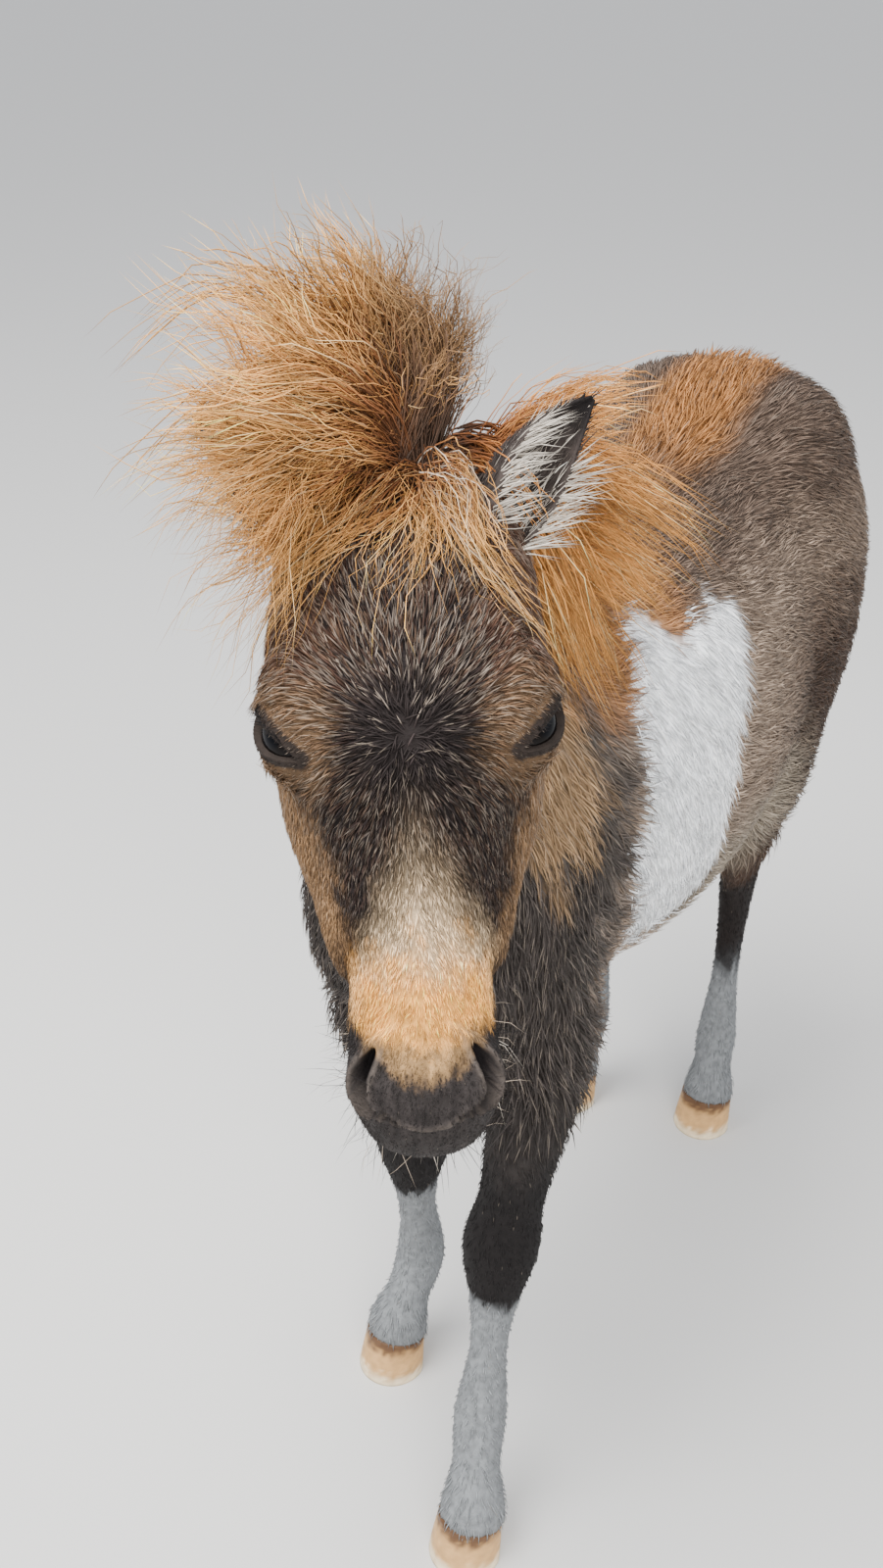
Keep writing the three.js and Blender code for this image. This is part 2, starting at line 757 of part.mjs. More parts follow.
function makeHoof(sole) {
  const rings = [
    hoofRing(sole, 0, 1, 0),
    hoofRing(sole, coronetHeight * 0.55, 0.95, 3.5),
    hoofRing(sole, coronetHeight - seamGap / 2, 0.88, 8),
  ];
  return loft(rings);
}

function makeLeg(name, sole) {
  const room = legRooms[name];
  const field = blended([...trunk, ...neck, ...legs[name]]);
  const low = room.low.map((v) => v + seamGap / 2);
  const high = room.high.map((v) => v - seamGap / 2);
  const raw = surface(field, identity, room.low, [high[0], high[1], high[2] + 40], [14.5, 15, 36]);
  const trimmed = raw.intersect(boxBetween(low, high));
  return largest(keepBeyond(trimmed, coronetCut(sole), seamGap / 2));
}

// Hair: a flat tapered lock that follows a path and ends in a point
function lock(path, flatNormal, width, thickness) {
  const stations = [0, 0.36, 0.72, 1];
  const fullness = [0.85, 1, 0.84, 0.14];
  const rings = stations.map((t, i) => {
    const here = path(t);
    const along = path(Math.min(1, t + 0.05)).sub(path(Math.max(0, t - 0.05))).normalize();
    const across = along.clone().cross(flatNormal(here)).normalize();
    const out = across.clone().cross(along);
    const w = width / 2 * fullness[i];
    const h = thickness / 2 * fullness[i];
    return [
      here.clone().addScaledVector(across, w),
      here.clone().addScaledVector(out, h),
      here.clone().addScaledVector(across, -w),
      here.clone().addScaledVector(out, -h),
    ];
  });
  return loft(rings);
}

const fleshField = blended([...trunk, ...neck, ...head]);

function slopeAt(p) {
  const step = 1;
  const here = fleshField(p);
  return point(...worldAxes.map((axis) =>
    (fleshField(p.clone().addScaledVector(axis, step)) - here) / step));
}

// Moves a point out of the body until it lies at least so far above the coat
function above(p, lift) {
  for (let pass = 0; pass < 3; pass++) {
    const short = lift - fleshField(p);
    if (short <= 0) break;
    const slope = slopeAt(p);
    p.addScaledVector(slope, short / Math.max(slope.lengthSq(), 0.2));
  }
  return p;
}

const outOfCoat = (p) => slopeAt(p).normalize();
const joined = (solids) => largest(wasm.Manifold.union(solids));

// Forelock: it grows between the ears and is blown to the right.
// A row is [angle from straight up towards the right in degrees, reach].
const forelockFan = [[-22, 62], [0, 84], [30, 106], [53, 140], [79, 134], [104, 130], [124, 126]];
const faceLocks = [[166, 84], [180, 92], [214, 112], [222, 124]];
const forelockRoot = { down: 4, side: 2 };
const forelockRise = { up: 36, out: 12, side: 9 };
const forelockCount = 24;

function fanReach(angle) {
  const next = Math.max(1, forelockFan.findIndex(([limit]) => limit >= angle));
  const [low, high] = [forelockFan[next - 1], forelockFan[next]];
  return low[1] + (high[1] - low[1]) * (angle - low[0]) / (high[0] - low[0]);
}

function forelockLock(angle, reach, tier, draw) {
  const turn = THREE.MathUtils.degToRad(angle);
  const tilt = 0.1 + 0.24 * tier;
  const aim = headDown.clone().multiplyScalar(-Math.cos(turn)).addScaledVector(headSide, -Math.sin(turn))
    .multiplyScalar(Math.cos(tilt)).addScaledVector(headOut, Math.sin(tilt));
  const away = Math.sin(turn);
  const root = onHead(
    forelockRoot.down + draw(-14, 12) - 8 * Math.cos(turn),
    6,
    forelockRoot.side + draw(-22, 10) - 8 * away);
  const droop = Math.min(1.5, Math.max(0.3, angle / 70));
  const sag = draw(0.1, 0.34) * reach * droop;
  const curl = draw(-0.2, 0.2) * reach;
  const risen = (t) => 1 - (1 - t) ** 6;
  const path = (t) => above(root.clone()
    .addScaledVector(headDown, -forelockRise.up * risen(t))
    .addScaledVector(headOut, forelockRise.out * risen(t))
    .addScaledVector(headSide, forelockRise.side * risen(t))
    .addScaledVector(aim, reach * t)
    .addScaledVector(headDown, curl * Math.sin(Math.PI * t))
    .add(point(0, 0, -sag * t * t)), 5 + 7 * tier - 8 * (1 - t));
  return lock(path, outOfCoat, draw(24, 31), draw(8, 10));
}

function makeForelock(seed) {
  const draw = seededDraw(seed);
  const [firstAngle] = forelockFan[0];
  const [lastAngle] = forelockFan[forelockFan.length - 1];
  const core = limb([
    [onHead(6, -6, 22), 16, 18],
    [onHead(-2, 4, -6), 24, 28],
    [onHead(4, 4, -44), 22, 26],
    [onHead(22, -2, -66), 12, 14],
  ], headDown, 10);
  const solids = [surface(core.field, headMatrix, [-70, -60, -120], [80, 60, 80], [16, 16, 16])];
  for (let i = 0; i < forelockCount; i++) {
    const angle = firstAngle + (lastAngle - firstAngle) * (i + 0.5) / forelockCount;
    const tier = i % 3;
    solids.push(forelockLock(angle, fanReach(angle) * (1 - 0.12 * tier) * draw(0.94, 1.04), tier, draw));
  }
  for (const [angle, reach] of faceLocks) solids.push(forelockLock(angle, reach, 0, draw));
  return joined(solids);
}

// Mane: it grows along the crest and falls on the left side of the neck
const crest = new THREE.CatmullRomCurve3([
  point(44, -208, 900),
  point(38, -160, 868),
  point(28, -110, 838),
  point(14, -60, 806),
  point(4, -14, 786),
]);
const maneRows = 8;
const onCrest = (t) => above(crest.getPoint(t), 3);

function makeMane(seed) {
  const draw = seededDraw(seed);
  const core = limb(
    [0, 0.25, 0.5, 0.75, 1].map((t) => [onCrest(t), 17 - 5 * t, 19 - 6 * t]), worldAxes[0], 10);
  const solids = [surface(core.field, identity, [-30, -250, 740], [90, 30, 950], [16, 16, 16])];
  const tiers = [
    { from: 0.05, sideways: 0.5, back: 0.25, rise: 0.12, fall: 0.85, lift: 5, length: maneLength },
    { from: 0.26, sideways: 0.72, back: 0.5, rise: 0.5, fall: 0.68, lift: 15, length: 1.05 * maneLength },
    { from: 0.26, sideways: 0.5, back: 0.62, rise: 0.85, fall: 0.5, lift: 12, length: 0.95 * maneLength },
  ];
  for (let row = 0; row < maneRows; row++) {
    for (const tier of tiers) {
      const start = tier.from + (1 - tier.from) * (row + draw(0.1, 0.9)) / maneRows;
      const root = onCrest(start);
      const length = tier.length * draw(0.85, 1.05) * (1 - 0.25 * start * start);
      const back = tier.back * draw(0.7, 1.3);
      const path = (t) => above(root.clone().add(point(
        tier.sideways * length * t ** 1.25,
        back * length * t ** 0.85,
        (tier.rise - tier.fall * t) * length * t)), tier.lift - 8 * (1 - t));
      solids.push(lock(path, outOfCoat, draw(21, 27), draw(8, 10)));
    }
  }
  return joined(solids);
}

// Tail: full locks that fall round the dock
const dock = new THREE.CatmullRomCurve3([
  point(0, 500, 752),
  point(0, 530, 716),
  point(0, 545, 650),
  point(0, 548, 580),
]);
const tailCount = 20;
const tailBulge = 34;
const goldenAngle = 2.4;

function makeTail(seed) {
  const draw = seededDraw(seed);
  const core = limb(
    [0, 0.33, 0.67, 1].map((t) => [dock.getPoint(t), 19 - 5 * t, 17 - 4 * t]), worldAxes[0], 10);
  const solids = [surface(core.field, identity, [-50, 460, 540], [50, 600, 790], [14, 14, 22])];
  const narrowEnd = Math.sin(0.15 * Math.PI);
  for (let i = 0; i < tailCount; i++) {
    const root = dock.getPoint((i + 0.5) / tailCount);
    const around = i * goldenAngle + draw(-0.2, 0.2);
    const radial = point(Math.sin(around), 0.75 * Math.cos(around), 0);
    const drop = (root.z - tailTip - draw(0, 60)) * (i % 3 === 0 ? 1 : draw(0.75, 0.95));
    const sway = draw(-12, 12);
    const path = (t) => root.clone()
      .addScaledVector(radial, tailBulge * (Math.sin(Math.PI * (0.15 + 0.7 * t)) - narrowEnd * (1 - t)))
      .add(point(sway * t * t, 10 * t * (1 - t), -drop * t));
    solids.push(lock(path, () => radial, draw(24, 30), draw(10, 13)));
  }
  return joined(solids);
}

// Finishes of the parts
const coats = {
  brown: { color: "#6b5344", roughness: 0.9 },
  charcoal: { color: "#4a4038", roughness: 0.9 },
  tan: { color: "#a07a52", roughness: 0.9 },
  rust: { color: "#a8703a", roughness: 0.85 },
  white: { color: "#cfc8bd", roughness: 0.9 },
  horn: { color: "#c9a26a", roughness: 0.55 },
  eye: { color: "#17110e", roughness: 0.08 },
};
const finish = Object.fromEntries(Object.entries(coats).map(([name, look]) =>
  [name, new THREE.MeshStandardMaterial({ ...look, metalness: 0 })]));

const group = new THREE.Group();

function place(name, solid, material) {
  const mesh = new THREE.Mesh(geometryOf(welded(solid)), finish[material]);
  mesh.name = name;
  group.add(mesh);
}

const soles = {
  leg_front_left: frontSole.left,
  leg_front_right: frontSole.right,
  leg_hind_left: hindSole.left,
  leg_hind_right: hindSole.right,
};

const body = {
  torso: makeTrunk(),
  neck: makeNeck(),
  head: makeHead(),
};
place("torso", body.torso, "brown");
place("neck", body.neck, "charcoal");
place("head", body.head, "charcoal");

const clearOf = (solid, others, gap) =>
  largest(others.reduce((left, other) => left.subtract(swollen(other, gap)), solid));

for (const [name, sole] of Object.entries(soles)) {
  const leg = makeLeg(name, sole);
  body[name] = leg;
  place(name, leg, "white");
  place(name.replace("leg", "hoof"), makeHoof(sole), "horn");
}

const hairGap = 1.2 * seamGap;
for (const [name, side] of [["left", 1], ["right", -1]]) {
  body["ear_" + name] = clearOf(makeEar(side), [body.head, body.neck], hairGap);
  place("ear_" + name, body["ear_" + name], "charcoal");
  place("eye_" + name, eyeBall(side, eyeRadius), "eye");
}

const eyes = [eyeBall(1, eyeRadius), eyeBall(-1, eyeRadius)];
const scalp = [body.head, body.neck, body.torso, body.ear_left, body.ear_right, ...eyes];
const forelock = firstSound((seed) => clearOf(makeForelock(seed), scalp, hairGap));
const mane = firstSound((seed) => clearOf(makeMane(seed), [...scalp, forelock], hairGap));
const tail = firstSound((seed) => clearOf(makeTail(seed), [body.torso], hairGap));
place("forelock", forelock, "rust");
place("mane", mane, "rust");
place("tail", tail, "rust");

// The origin goes to the floor under the middle of the whole model
const box = new THREE.Box3().setFromObject(group);
group.position.set(-(box.min.x + box.max.x) / 2, -(box.min.y + box.max.y) / 2, -box.min.z);
group.updateMatrixWorld(true);

export default group;
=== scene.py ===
# Shetland pony: skin, coat, long hair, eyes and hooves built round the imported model.
# Shapes are in millimetres in the pony's stance frame (+X its left, -Y ahead, +Z up, the ground
# under its withers as origin) and become metres in the model's frame when a mesh is made.
import math

import bpy
import numpy as np
from mathutils import Matrix, Vector


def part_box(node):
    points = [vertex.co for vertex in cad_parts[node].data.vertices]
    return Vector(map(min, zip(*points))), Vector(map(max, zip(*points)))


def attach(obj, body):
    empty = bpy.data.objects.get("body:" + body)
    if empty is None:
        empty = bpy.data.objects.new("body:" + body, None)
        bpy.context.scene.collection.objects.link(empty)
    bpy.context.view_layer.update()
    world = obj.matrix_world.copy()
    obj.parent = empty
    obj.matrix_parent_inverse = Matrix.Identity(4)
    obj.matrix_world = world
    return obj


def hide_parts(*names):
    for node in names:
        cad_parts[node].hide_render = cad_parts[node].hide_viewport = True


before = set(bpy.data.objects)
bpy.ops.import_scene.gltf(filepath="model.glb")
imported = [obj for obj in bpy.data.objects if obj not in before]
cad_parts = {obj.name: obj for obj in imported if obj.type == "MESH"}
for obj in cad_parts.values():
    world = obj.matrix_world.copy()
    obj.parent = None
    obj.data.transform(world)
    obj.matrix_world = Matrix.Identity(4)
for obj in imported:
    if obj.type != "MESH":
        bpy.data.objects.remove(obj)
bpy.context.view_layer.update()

MM = 0.001
FAR = 1000.0

# Driving sizes, the same as the solids have
hoof_width = 60
hoof_toe_height = 44
hoof_heel_height = 27
hoof_toe_share = 1.04
hoof_heel_share = 0.82
eye_radius = 18
ear_length = 104
ear_wall = 2.2
mane_length = 140
tail_tip = 322

# Numbers of tufts and hairs: ears and lashes are counted for each side
body_tufts = 55000
leg_tufts = 11000
face_tufts = 40000
ear_tufts = 2200
lash_hairs = 80
whisker_hairs = 260
chin_hairs = 620

# Lengths of the coat: on the trunk, with what the belly and the top line add; on the legs below
# and above the knees, with what the heels add; and down the face
trunk_hair = 25
belly_hair = 9
top_line_hair = 6
low_leg_hair = 7.0
high_leg_hair = 19.0
heel_hair = 6
brow_hair = 13.0
cheek_hair = 7.5
muzzle_hair = 2.6
lid_hair = 3.4

# Heights and places where the coat changes
belly_top = 520
top_line_low = 745
knee_top = 300
heel_top = 95
whorl_level = 130
muzzle_bare = 262

# Pose of the head: turned to the left, reaching forward, leaning
head_yaw = math.radians(29)
head_reach = math.radians(34.5)
head_lean = math.radians(3.5)
poll = np.array([45.0, -219.0, 920.0])

# The photograph's camera
camera_place = np.array([421.0, -878.0, 1203.0])
camera_yaw = math.radians(27.8)
camera_pitch = math.radians(31.0)
camera_roll = math.radians(1.5)
camera_lens = 37.125
camera_sensor = 36


def vec(*values):
    return np.array(values, float)


def unit(v):
    return v / np.maximum(np.linalg.norm(v, axis=-1, keepdims=True), 1e-12)


def smooth(t):
    t = np.clip(t, 0, 1)
    return t * t * (3 - 2 * t)


def mix(a, b, t):
    return a + (b - a) * t


def turned(v, axis, angle):
    c, s = math.cos(angle), math.sin(angle)
    return v * c + np.cross(axis, v) * s + axis * np.dot(axis, v) * (1 - c)


# Head frame: down runs from the poll to the muzzle, out leaves the face, side points left
def head_frame():
    down = vec(0, -math.sin(head_reach), -math.cos(head_reach))
    out = vec(0, -math.cos(head_reach), math.sin(head_reach))
    side = vec(1, 0, 0)
    axes = [turned(a, vec(0, 0, 1), head_yaw) for a in (down, out, side)]
    outward = axes[1]
    return np.array([turned(a, outward, head_lean) for a in axes])


head_axes = head_frame()
head_down, head_out, head_side = head_axes
world_axes = np.eye(3)


def on_head(down, out, side):
    return poll + vec(down, out, side) @ head_axes


def in_head(points):
    return (points - poll) @ head_axes.T


# A smooth curve through points, the same one that the solids use
def curve(points, t):
    points = np.asarray(points, float)
    t = np.atleast_1d(np.asarray(t, float))
    last = len(points) - 1
    place = np.clip(t, 0, 1) * last
    k = np.minimum(place.astype(int), last - 1)
    w = (place - k)[:, None]
    padded = np.vstack([2 * points[0] - points[1], points, 2 * points[-1] - points[-2]])
    a, b, c, d = padded[k], padded[k + 1], padded[k + 2], padded[k + 3]
    t0, t1 = (c - a) / 2, (d - b) / 2
    return b + t0 * w + (3 * (c - b) - 2 * t0 - t1) * w**2 + (2 * (b - c) + t0 + t1) * w**3


class Part:
    """A piece of the body: about the distance outside its surface, and how it blends in."""

    def __init__(self, low, high, blend):
        reach = 70
        self.low = low - reach
        self.high = high + reach
        self.blend = max(blend, 1e-6)


class Limb(Part):
    """A tapering limb of elliptic sections. A station is (centre, half width, half depth)."""

    def __init__(self, stations, across, blend):
        centres = np.array([s[0] for s in stations])
        sizes = np.array([s[1:] for s in stations])
        super().__init__((centres - sizes.max()).min(0), (centres + sizes.max()).max(0), blend)
        steps = np.linspace(0, 1, 3 * (len(stations) - 1) + 1)
        points = curve(centres, steps)
        spans = curve(sizes, steps)
        self.links = []
        for i in range(len(steps) - 1):
            run = points[i + 1] - points[i]
            length = np.linalg.norm(run)
            along = run / length
            width = unit(across - along * np.dot(across, along))
            self.links.append((points[i], length, along, width, np.cross(along, width),
                               spans[i], spans[i + 1]))

    def field(self, p):
        best = np.full(len(p), FAR)
        for start, length, along, width, depth, first, last in self.links:
            q = p - start
            raw = q @ along
            t = np.clip(raw / length, 0, 1)
            half_width = first[0] + (last[0] - first[0]) * t
            half_depth = first[1] + (last[1] - first[1]) * t
            cap = np.minimum(half_width, half_depth)
            a = q @ width / half_width
            b = q @ depth / half_depth
            c = (raw - t * length) / cap
            near = np.sqrt(a * a + b * b + c * c)
            slope = np.sqrt((a / half_width)**2 + (b / half_depth)**2 + (c / cap)**2)
            best = np.minimum(best, near * (near - 1) / np.maximum(slope, 1e-9))
        return best


class Swelling(Part):
    """A muscle or a bump: an ellipsoid on its own axes."""

    def __init__(self, centre, radii, axes, blend):
        reach = max(radii)
        super().__init__(centre - reach, centre + reach, blend)
        self.centre = centre
        self.radii = np.array(radii, float)
        self.axes = np.asarray(axes)

    def field(self, p):
        q = (p - self.centre) @ self.axes.T / self.radii
        near = np.linalg.norm(q, axis=1)
        slope = np.linalg.norm(q / self.radii, axis=1)
        return near * (near - 1) / np.maximum(slope, 1e-9)


def blended(parts):
    def field(p):
        value = np.full(len(p), FAR)
        for part in parts:
            near = np.all((p > part.low) & (p < part.high), axis=1)
            here = value[near]
            other = part.field(p[near])
            join = np.maximum(part.blend - np.abs(here - other), 0) / part.blend
            value[near] = np.minimum(here, other) - join * join * part.blend / 4
        return value
    return field


def tilted(angle):
    c, s = math.cos(angle), math.sin(angle)
    return np.array([[1, 0, 0], [0, c, s], [0, -s, c]])


# Trunk: sections along the spine, (y, height of the centre, half width, half height)
trunk_sections = [
    (-132, 590, 42, 76), (-88, 602, 82, 128), (0, 624, 112, 172), (80, 605, 136, 184),
    (190, 592, 152, 190), (300, 610, 142, 184), (375, 652, 124, 162), (440, 678, 114, 140),
    (500, 668, 82, 96),
]
# Muscles on each side: (across, along, up), radii, tilt in radians and blend
trunk_muscles = [
    ((56, -66, 594), (38, 68, 124), -0.35, 36),
    ((62, -36, 500), (40, 60, 84), 0, 34),
    ((76, 418, 600), (66, 108, 160), 0.1, 50),
    ((50, 405, 752), (60, 92, 62), 0, 30),
    ((92, 345, 505), (42, 60, 74), 0.5, 45),
]
trunk = [
    Limb([(vec(0, y, z), w, h) for y, z, w, h in trunk_sections], world_axes[0], 0),
    Swelling(vec(4, -124, 582), (50, 40, 72), world_axes, 30),
]
for s in (-1, 1):
    for (x, y, z), radii, tilt, blend in trunk_muscles:
        trunk.append(Swelling(vec(s * x, y, z), radii, tilted(tilt), blend))

# Neck: from the chest up to the back of the skull
neck_sections = [
    (vec(2, -54, 655), 60, 104), (vec(10, -86, 718), 54, 90), (vec(22, -118, 776), 51, 75),
    (vec(32, -148, 828), 49, 63), (vec(42, -184, 862), 47, 52),
]
neck = [Limb(neck_sections, world_axes[0], 36)]

# Head: (distance down the face, height of the centre over the face line, half width, half depth)
skull_sections = [
    (14, -40, 54, 42), (50, -28, 67, 49), (88, -20, 71, 52), (122, -19, 65, 52),
    (158, -23, 53, 49), (200, -26, 44, 46), (240, -29, 38, 43), (270, -31, 37, 40),
    (294, -33, 38, 36), (307, -36, 34, 28),
]
jaw_sections = [
    (72, -84, 48, 38), (112, -90, 50, 38), (152, -84, 46, 33), (200, -70, 39, 28),
    (245, -62, 30, 24), (288, -60, 25, 18), (301, -58, 22, 15),
]
head = [
    Limb([(on_head(d, o, 0), w, h) for d, o, w, h in skull_sections], head_side, 30),
    Limb([(on_head(d, o, 0), w, h) for d, o, w, h in jaw_sections], head_side, 16),
]

# The eyes: place of each ball on the head, the way it looks and the way to its inner corner,
# each as down, out and side; the lids lie over the ball and leave a slit open
eye_place = (123, -2.3, 54.5)
eye_look = (0.05, 0.6, 0.8)
eye_inner = (0.69, 0.56, -0.46)
lid_thickness = 2.2
lid_blend = 9
slit_corner = 1.05
slit_above = 0.24
slit_below = 0.34


def head_way(way, s):
    return unit(head_down * way[0] + head_out * way[1] + head_side * s * way[2])


def eye_centre(s):
    return on_head(eye_place[0], eye_place[1], s * eye_place[2])


def eye_axes(s):
    """Centre of the ball, its look, the way to the inner corner and the rise of the upper lid."""
    look = head_way(eye_look, s)
    inner = head_way(eye_inner, s)
    inner = unit(inner - look * (inner @ look))
    return eye_centre(s), look, inner, np.cross(look, inner) * -s


# Bumps on each side of the head: (down, out, side), radii and blend
head_bumps = [
    ((128, -62, 41), (76, 46, 30), 22),
    ((106, 0, 56), (24, 17, 17), 14),
    ((196, -44, 38), (46, 24, 14), 16),
    ((293, -14, 27), (19, 15, 12), 9),
]
for s in (-1, 1):
    head.append(Swelling(eye_centre(s), 3 * [eye_radius + lid_thickness], head_axes, lid_blend))
    for (down, out, side), radii, blend in head_bumps:
        head.append(Swelling(on_head(down, out, s * side), radii, head_axes, blend))

# Legs, from the body down to the coronet
soles = {
    "front_left": vec(77, -149, 0), "front_right": vec(-67, -18, 0),
    "hind_left": vec(65, 418, 0), "hind_right": vec(-76, 383, 0),
}
knees = {
    "front_left": vec(54, -63, 254), "front_right": vec(-62, 4, 254),
    "hind_left": vec(65, 430, 306), "hind_right": vec(-62, 400, 306),
}
fetlocks = {
    "front_left": vec(62, -102, 103), "front_right": vec(-62, 22, 103),
    "hind_left": vec(62, 440, 103), "hind_right": vec(-68, 404, 103),
}


# Leg sections: the joint above, how far on to the next joint, half width and half depth; joints
# are counted from the elbow or the stifle down, and the last one is the foot inside the hoof
front_profile = [
    (0, 0, 37, 56), (0, 0.45, 32, 41), (0, 0.78, 28, 31), (1, 0, 33, 34), (1, 0.28, 23, 26),
    (1, 0.6, 17, 22), (2, 0, 24, 26), (2, 0.55, 22, 24), (3, 0, 29, 30), (3, 1, 28, 30),
]
hind_profile = [
    (0, 0, 38, 74), (0, 0.45, 30, 52), (0, 0.8, 20, 34), (1, 0, 19, 32), (1, 0.25, 16, 26),
    (1, 0.6, 15.5, 21), (2, 0, 23, 25), (2, 0.55, 22, 24), (3, 0, 28, 30), (3, 1, 27, 30),
]
leg_blend = 24


def leg_parts(name):
    s = 1 if name.endswith("left") else -1
    hind = name.startswith("hind")
    knee = knees[name]
    top = vec(s * 94, knee[1] - 95, 500) if hind else vec(s * 70, -34, 452)
    coronet = soles[name] + vec(0, 9, 42)
    joints = [top, knee, fetlocks[name], coronet, coronet + vec(0, 2, -30)]
    profile = hind_profile if hind else front_profile
    stations = [(mix(joints[k], joints[k + 1], t), w, h) for k, t, w, h in profile]
    parts = [Limb(stations, world_axes[0], leg_blend)]
    if hind:
        parts.append(Swelling(knee + vec(0, 22, 16), (13, 17, 26), tilted(0.35), 14))
    return parts


legs = [part for name in soles for part in leg_parts(name)]
body_field = blended([*trunk, *neck, *head, *legs])

# Where the head and the throat begin
head_plane = unit(head_down * 135 + head_out * 82)
head_plane_point = on_head(-12, 0, 0)
throat_point = on_head(60, -133, 0)


def head_share(p):
    before = (p - head_plane_point) @ head_plane
    above = (p - throat_point) @ head_out
    return smooth((np.minimum(before, above) + 22) / 44)


def leg_share(p):
    return smooth((455 - p[:, 2]) / 70)


# How far the skin lies under the tips of the coat, region by region
trunk_depth = 9.0
leg_depth = 3.2
brow_depth = 3.4
muzzle_depth = 1.2
lid_depth = 0.3


def coat_depth(p):
    on_face = mix(brow_depth, muzzle_depth, smooth((in_head(p)[:, 0] - 235) / 50))
    for s in (-1, 1):
        from_eye = np.linalg.norm(p - eye_centre(s), axis=1)
        on_face = mix(on_face, lid_depth, smooth((eye_radius + 12 - from_eye) / 9))
    depth = mix(trunk_depth, on_face, head_share(p))
    return mix(depth, leg_depth, leg_share(p))


coronet_height = (hoof_toe_height + hoof_heel_height) / 2
coronet_slope = (hoof_toe_height - hoof_heel_height) / hoof_width
skin_in_hoof = 4
foot_reach = 50
foot_top = 90


def skin_field(p):
    """The body less its coat, cut off a little under the top of each hoof."""
    value = body_field(p) + coat_depth(p)
    for sole in soles.values():
        near = np.all(np.abs(p[:, :2] - sole[:2]) < foot_reach, axis=1) & (p[:, 2] < foot_top)
        top = coronet_height - skin_in_hoof - coronet_slope * (p[near, 1] - sole[1])
        value[near] = np.maximum(value[near], top - p[near, 2])
    return value


# Closed mesh of a field on a grid of cells: a coarse pass finds where the surface runs
def surface(field, low, high, cell, coarse=4):
    count = np.ceil((high - low) / (cell * coarse)).astype(int) * coarse + 1
    axes = [low[i] + cell * np.arange(count[i]) for i in range(3)]
    rough_axes = [a[::coarse] for a in axes]
    rough_grid = np.stack(np.meshgrid(*rough_axes, indexing="ij"), -1)
    rough = field(rough_grid.reshape(-1, 3)).reshape(rough_grid.shape[:3])
    value = rough
    for axis in range(3):
        value = np.repeat(value, coarse, axis=axis)
    trim = (coarse - 1) // 2 + 1
    value = value[tuple(slice(trim, trim + n) for n in count)]
    pad = [(0, n - m) for n, m in zip(count, value.shape)]
    value = np.pad(value, pad, mode="edge")
    grid = np.stack(np.meshgrid(*axes, indexing="ij"), -1)
    near = np.abs(value) < 1.8 * cell * coarse
    value[near] = field(grid[near])
    value[0], value[-1] = FAR, FAR
    value[:, 0], value[:, -1] = FAR, FAR
    value[:, :, 0], value[:, :, -1] = FAR, FAR
    return net(value, low, cell)


def net(value, low, cell):
    corners = [(n & 1, n >> 1 & 1, n >> 2 & 1) for n in range(8)]
    size = np.array(value.shape) - 1
    block = [value[a:a + size[0], b:b + size[1], c:c + size[2]] for a, b, c in corners]
    inside = sum((v < 0).astype(int) for v in block)
    cells = np.argwhere((inside > 0) & (inside < 8))
    index = np.full(size, -1)
    index[tuple(cells.T)] = np.arange(len(cells))
    here = [v[tuple(cells.T)] for v in block]
    total = np.zeros((len(cells), 3))
    crossings = np.zeros(len(cells))
    for a in range(8):
        for bit in (1, 2, 4):
            if a & bit:
                continue
            b = a | bit
            cross = (here[a] < 0) != (here[b] < 0)
            gap = np.where(cross, here[a] - here[b], 1)
            t = np.where(cross, here[a] / gap, 0)[:, None]
            spot = np.array(corners[a]) + (np.array(corners[b]) - np.array(corners[a])) * t
            total += spot * cross[:, None]
            crossings += cross
    points = low + cell * (cells + total / crossings[:, None])
    quads = []
    for axis in range(3):
        u, v = (axis + 1) % 3, (axis + 2) % 3
        first = np.moveaxis(value < 0, axis, 0)
        change = np.argwhere(first[:-1] != first[1:])
        order = [axis, *[i for i in range(3) if i != axis]]
        spots = np.empty_like(change)
        for column, real in enumerate(order):
            spots[:, real] = change[:, column]
        spots = spots[(spots[:, u] > 0) & (spots[:, v] > 0)]
        starts_inside = value[tuple(spots.T)] < 0
        ring = []
        for du, dv in ((0, 0), (1, 0), (1, 1), (0, 1)):
            c = spots.copy()
            c[:, u] -= du
            c[:, v] -= dv
            ring.append(index[tuple(c.T)])
        ring = np.stack(ring, 1)
        ring[~starts_inside] = ring[~starts_inside][:, ::-1]
        quads.append(ring)
    return points, np.concatenate(quads)


def slopes(field, points, here, step):
    """The field's slope at points where its value is known."""
    return np.stack([(field(points + a * step) - here) / step for a in world_axes], 1)


def settle(points, field, passes=2, step=0.5, longest=4):
    """Moves points on to the surface of a field."""
    for _ in range(passes):
        here = field(points)
        slope = slopes(field, points, here, step)
        size = np.maximum((slope * slope).sum(1), 0.2)
        move = -slope * (here / size)[:, None]
        length = np.linalg.norm(move, axis=1, keepdims=True)
        points = points + move * np.minimum(1, longest / np.maximum(length, 1e-9))
    return points


# Meshes in the model's frame; the left front hoof tells where the stance frame lies in it
hoof_low, hoof_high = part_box("hoof_front_left")
front_sole = soles["front_left"]
stance_shift = np.array([
    (hoof_low.x + hoof_high.x) / 2 - front_sole[0] * MM,
    hoof_low.y - (front_sole[1] - hoof_toe_share * hoof_width / 2) * MM,
    0,
])


def to_model(points):
    return (points * MM + stance_shift).astype(np.float32)


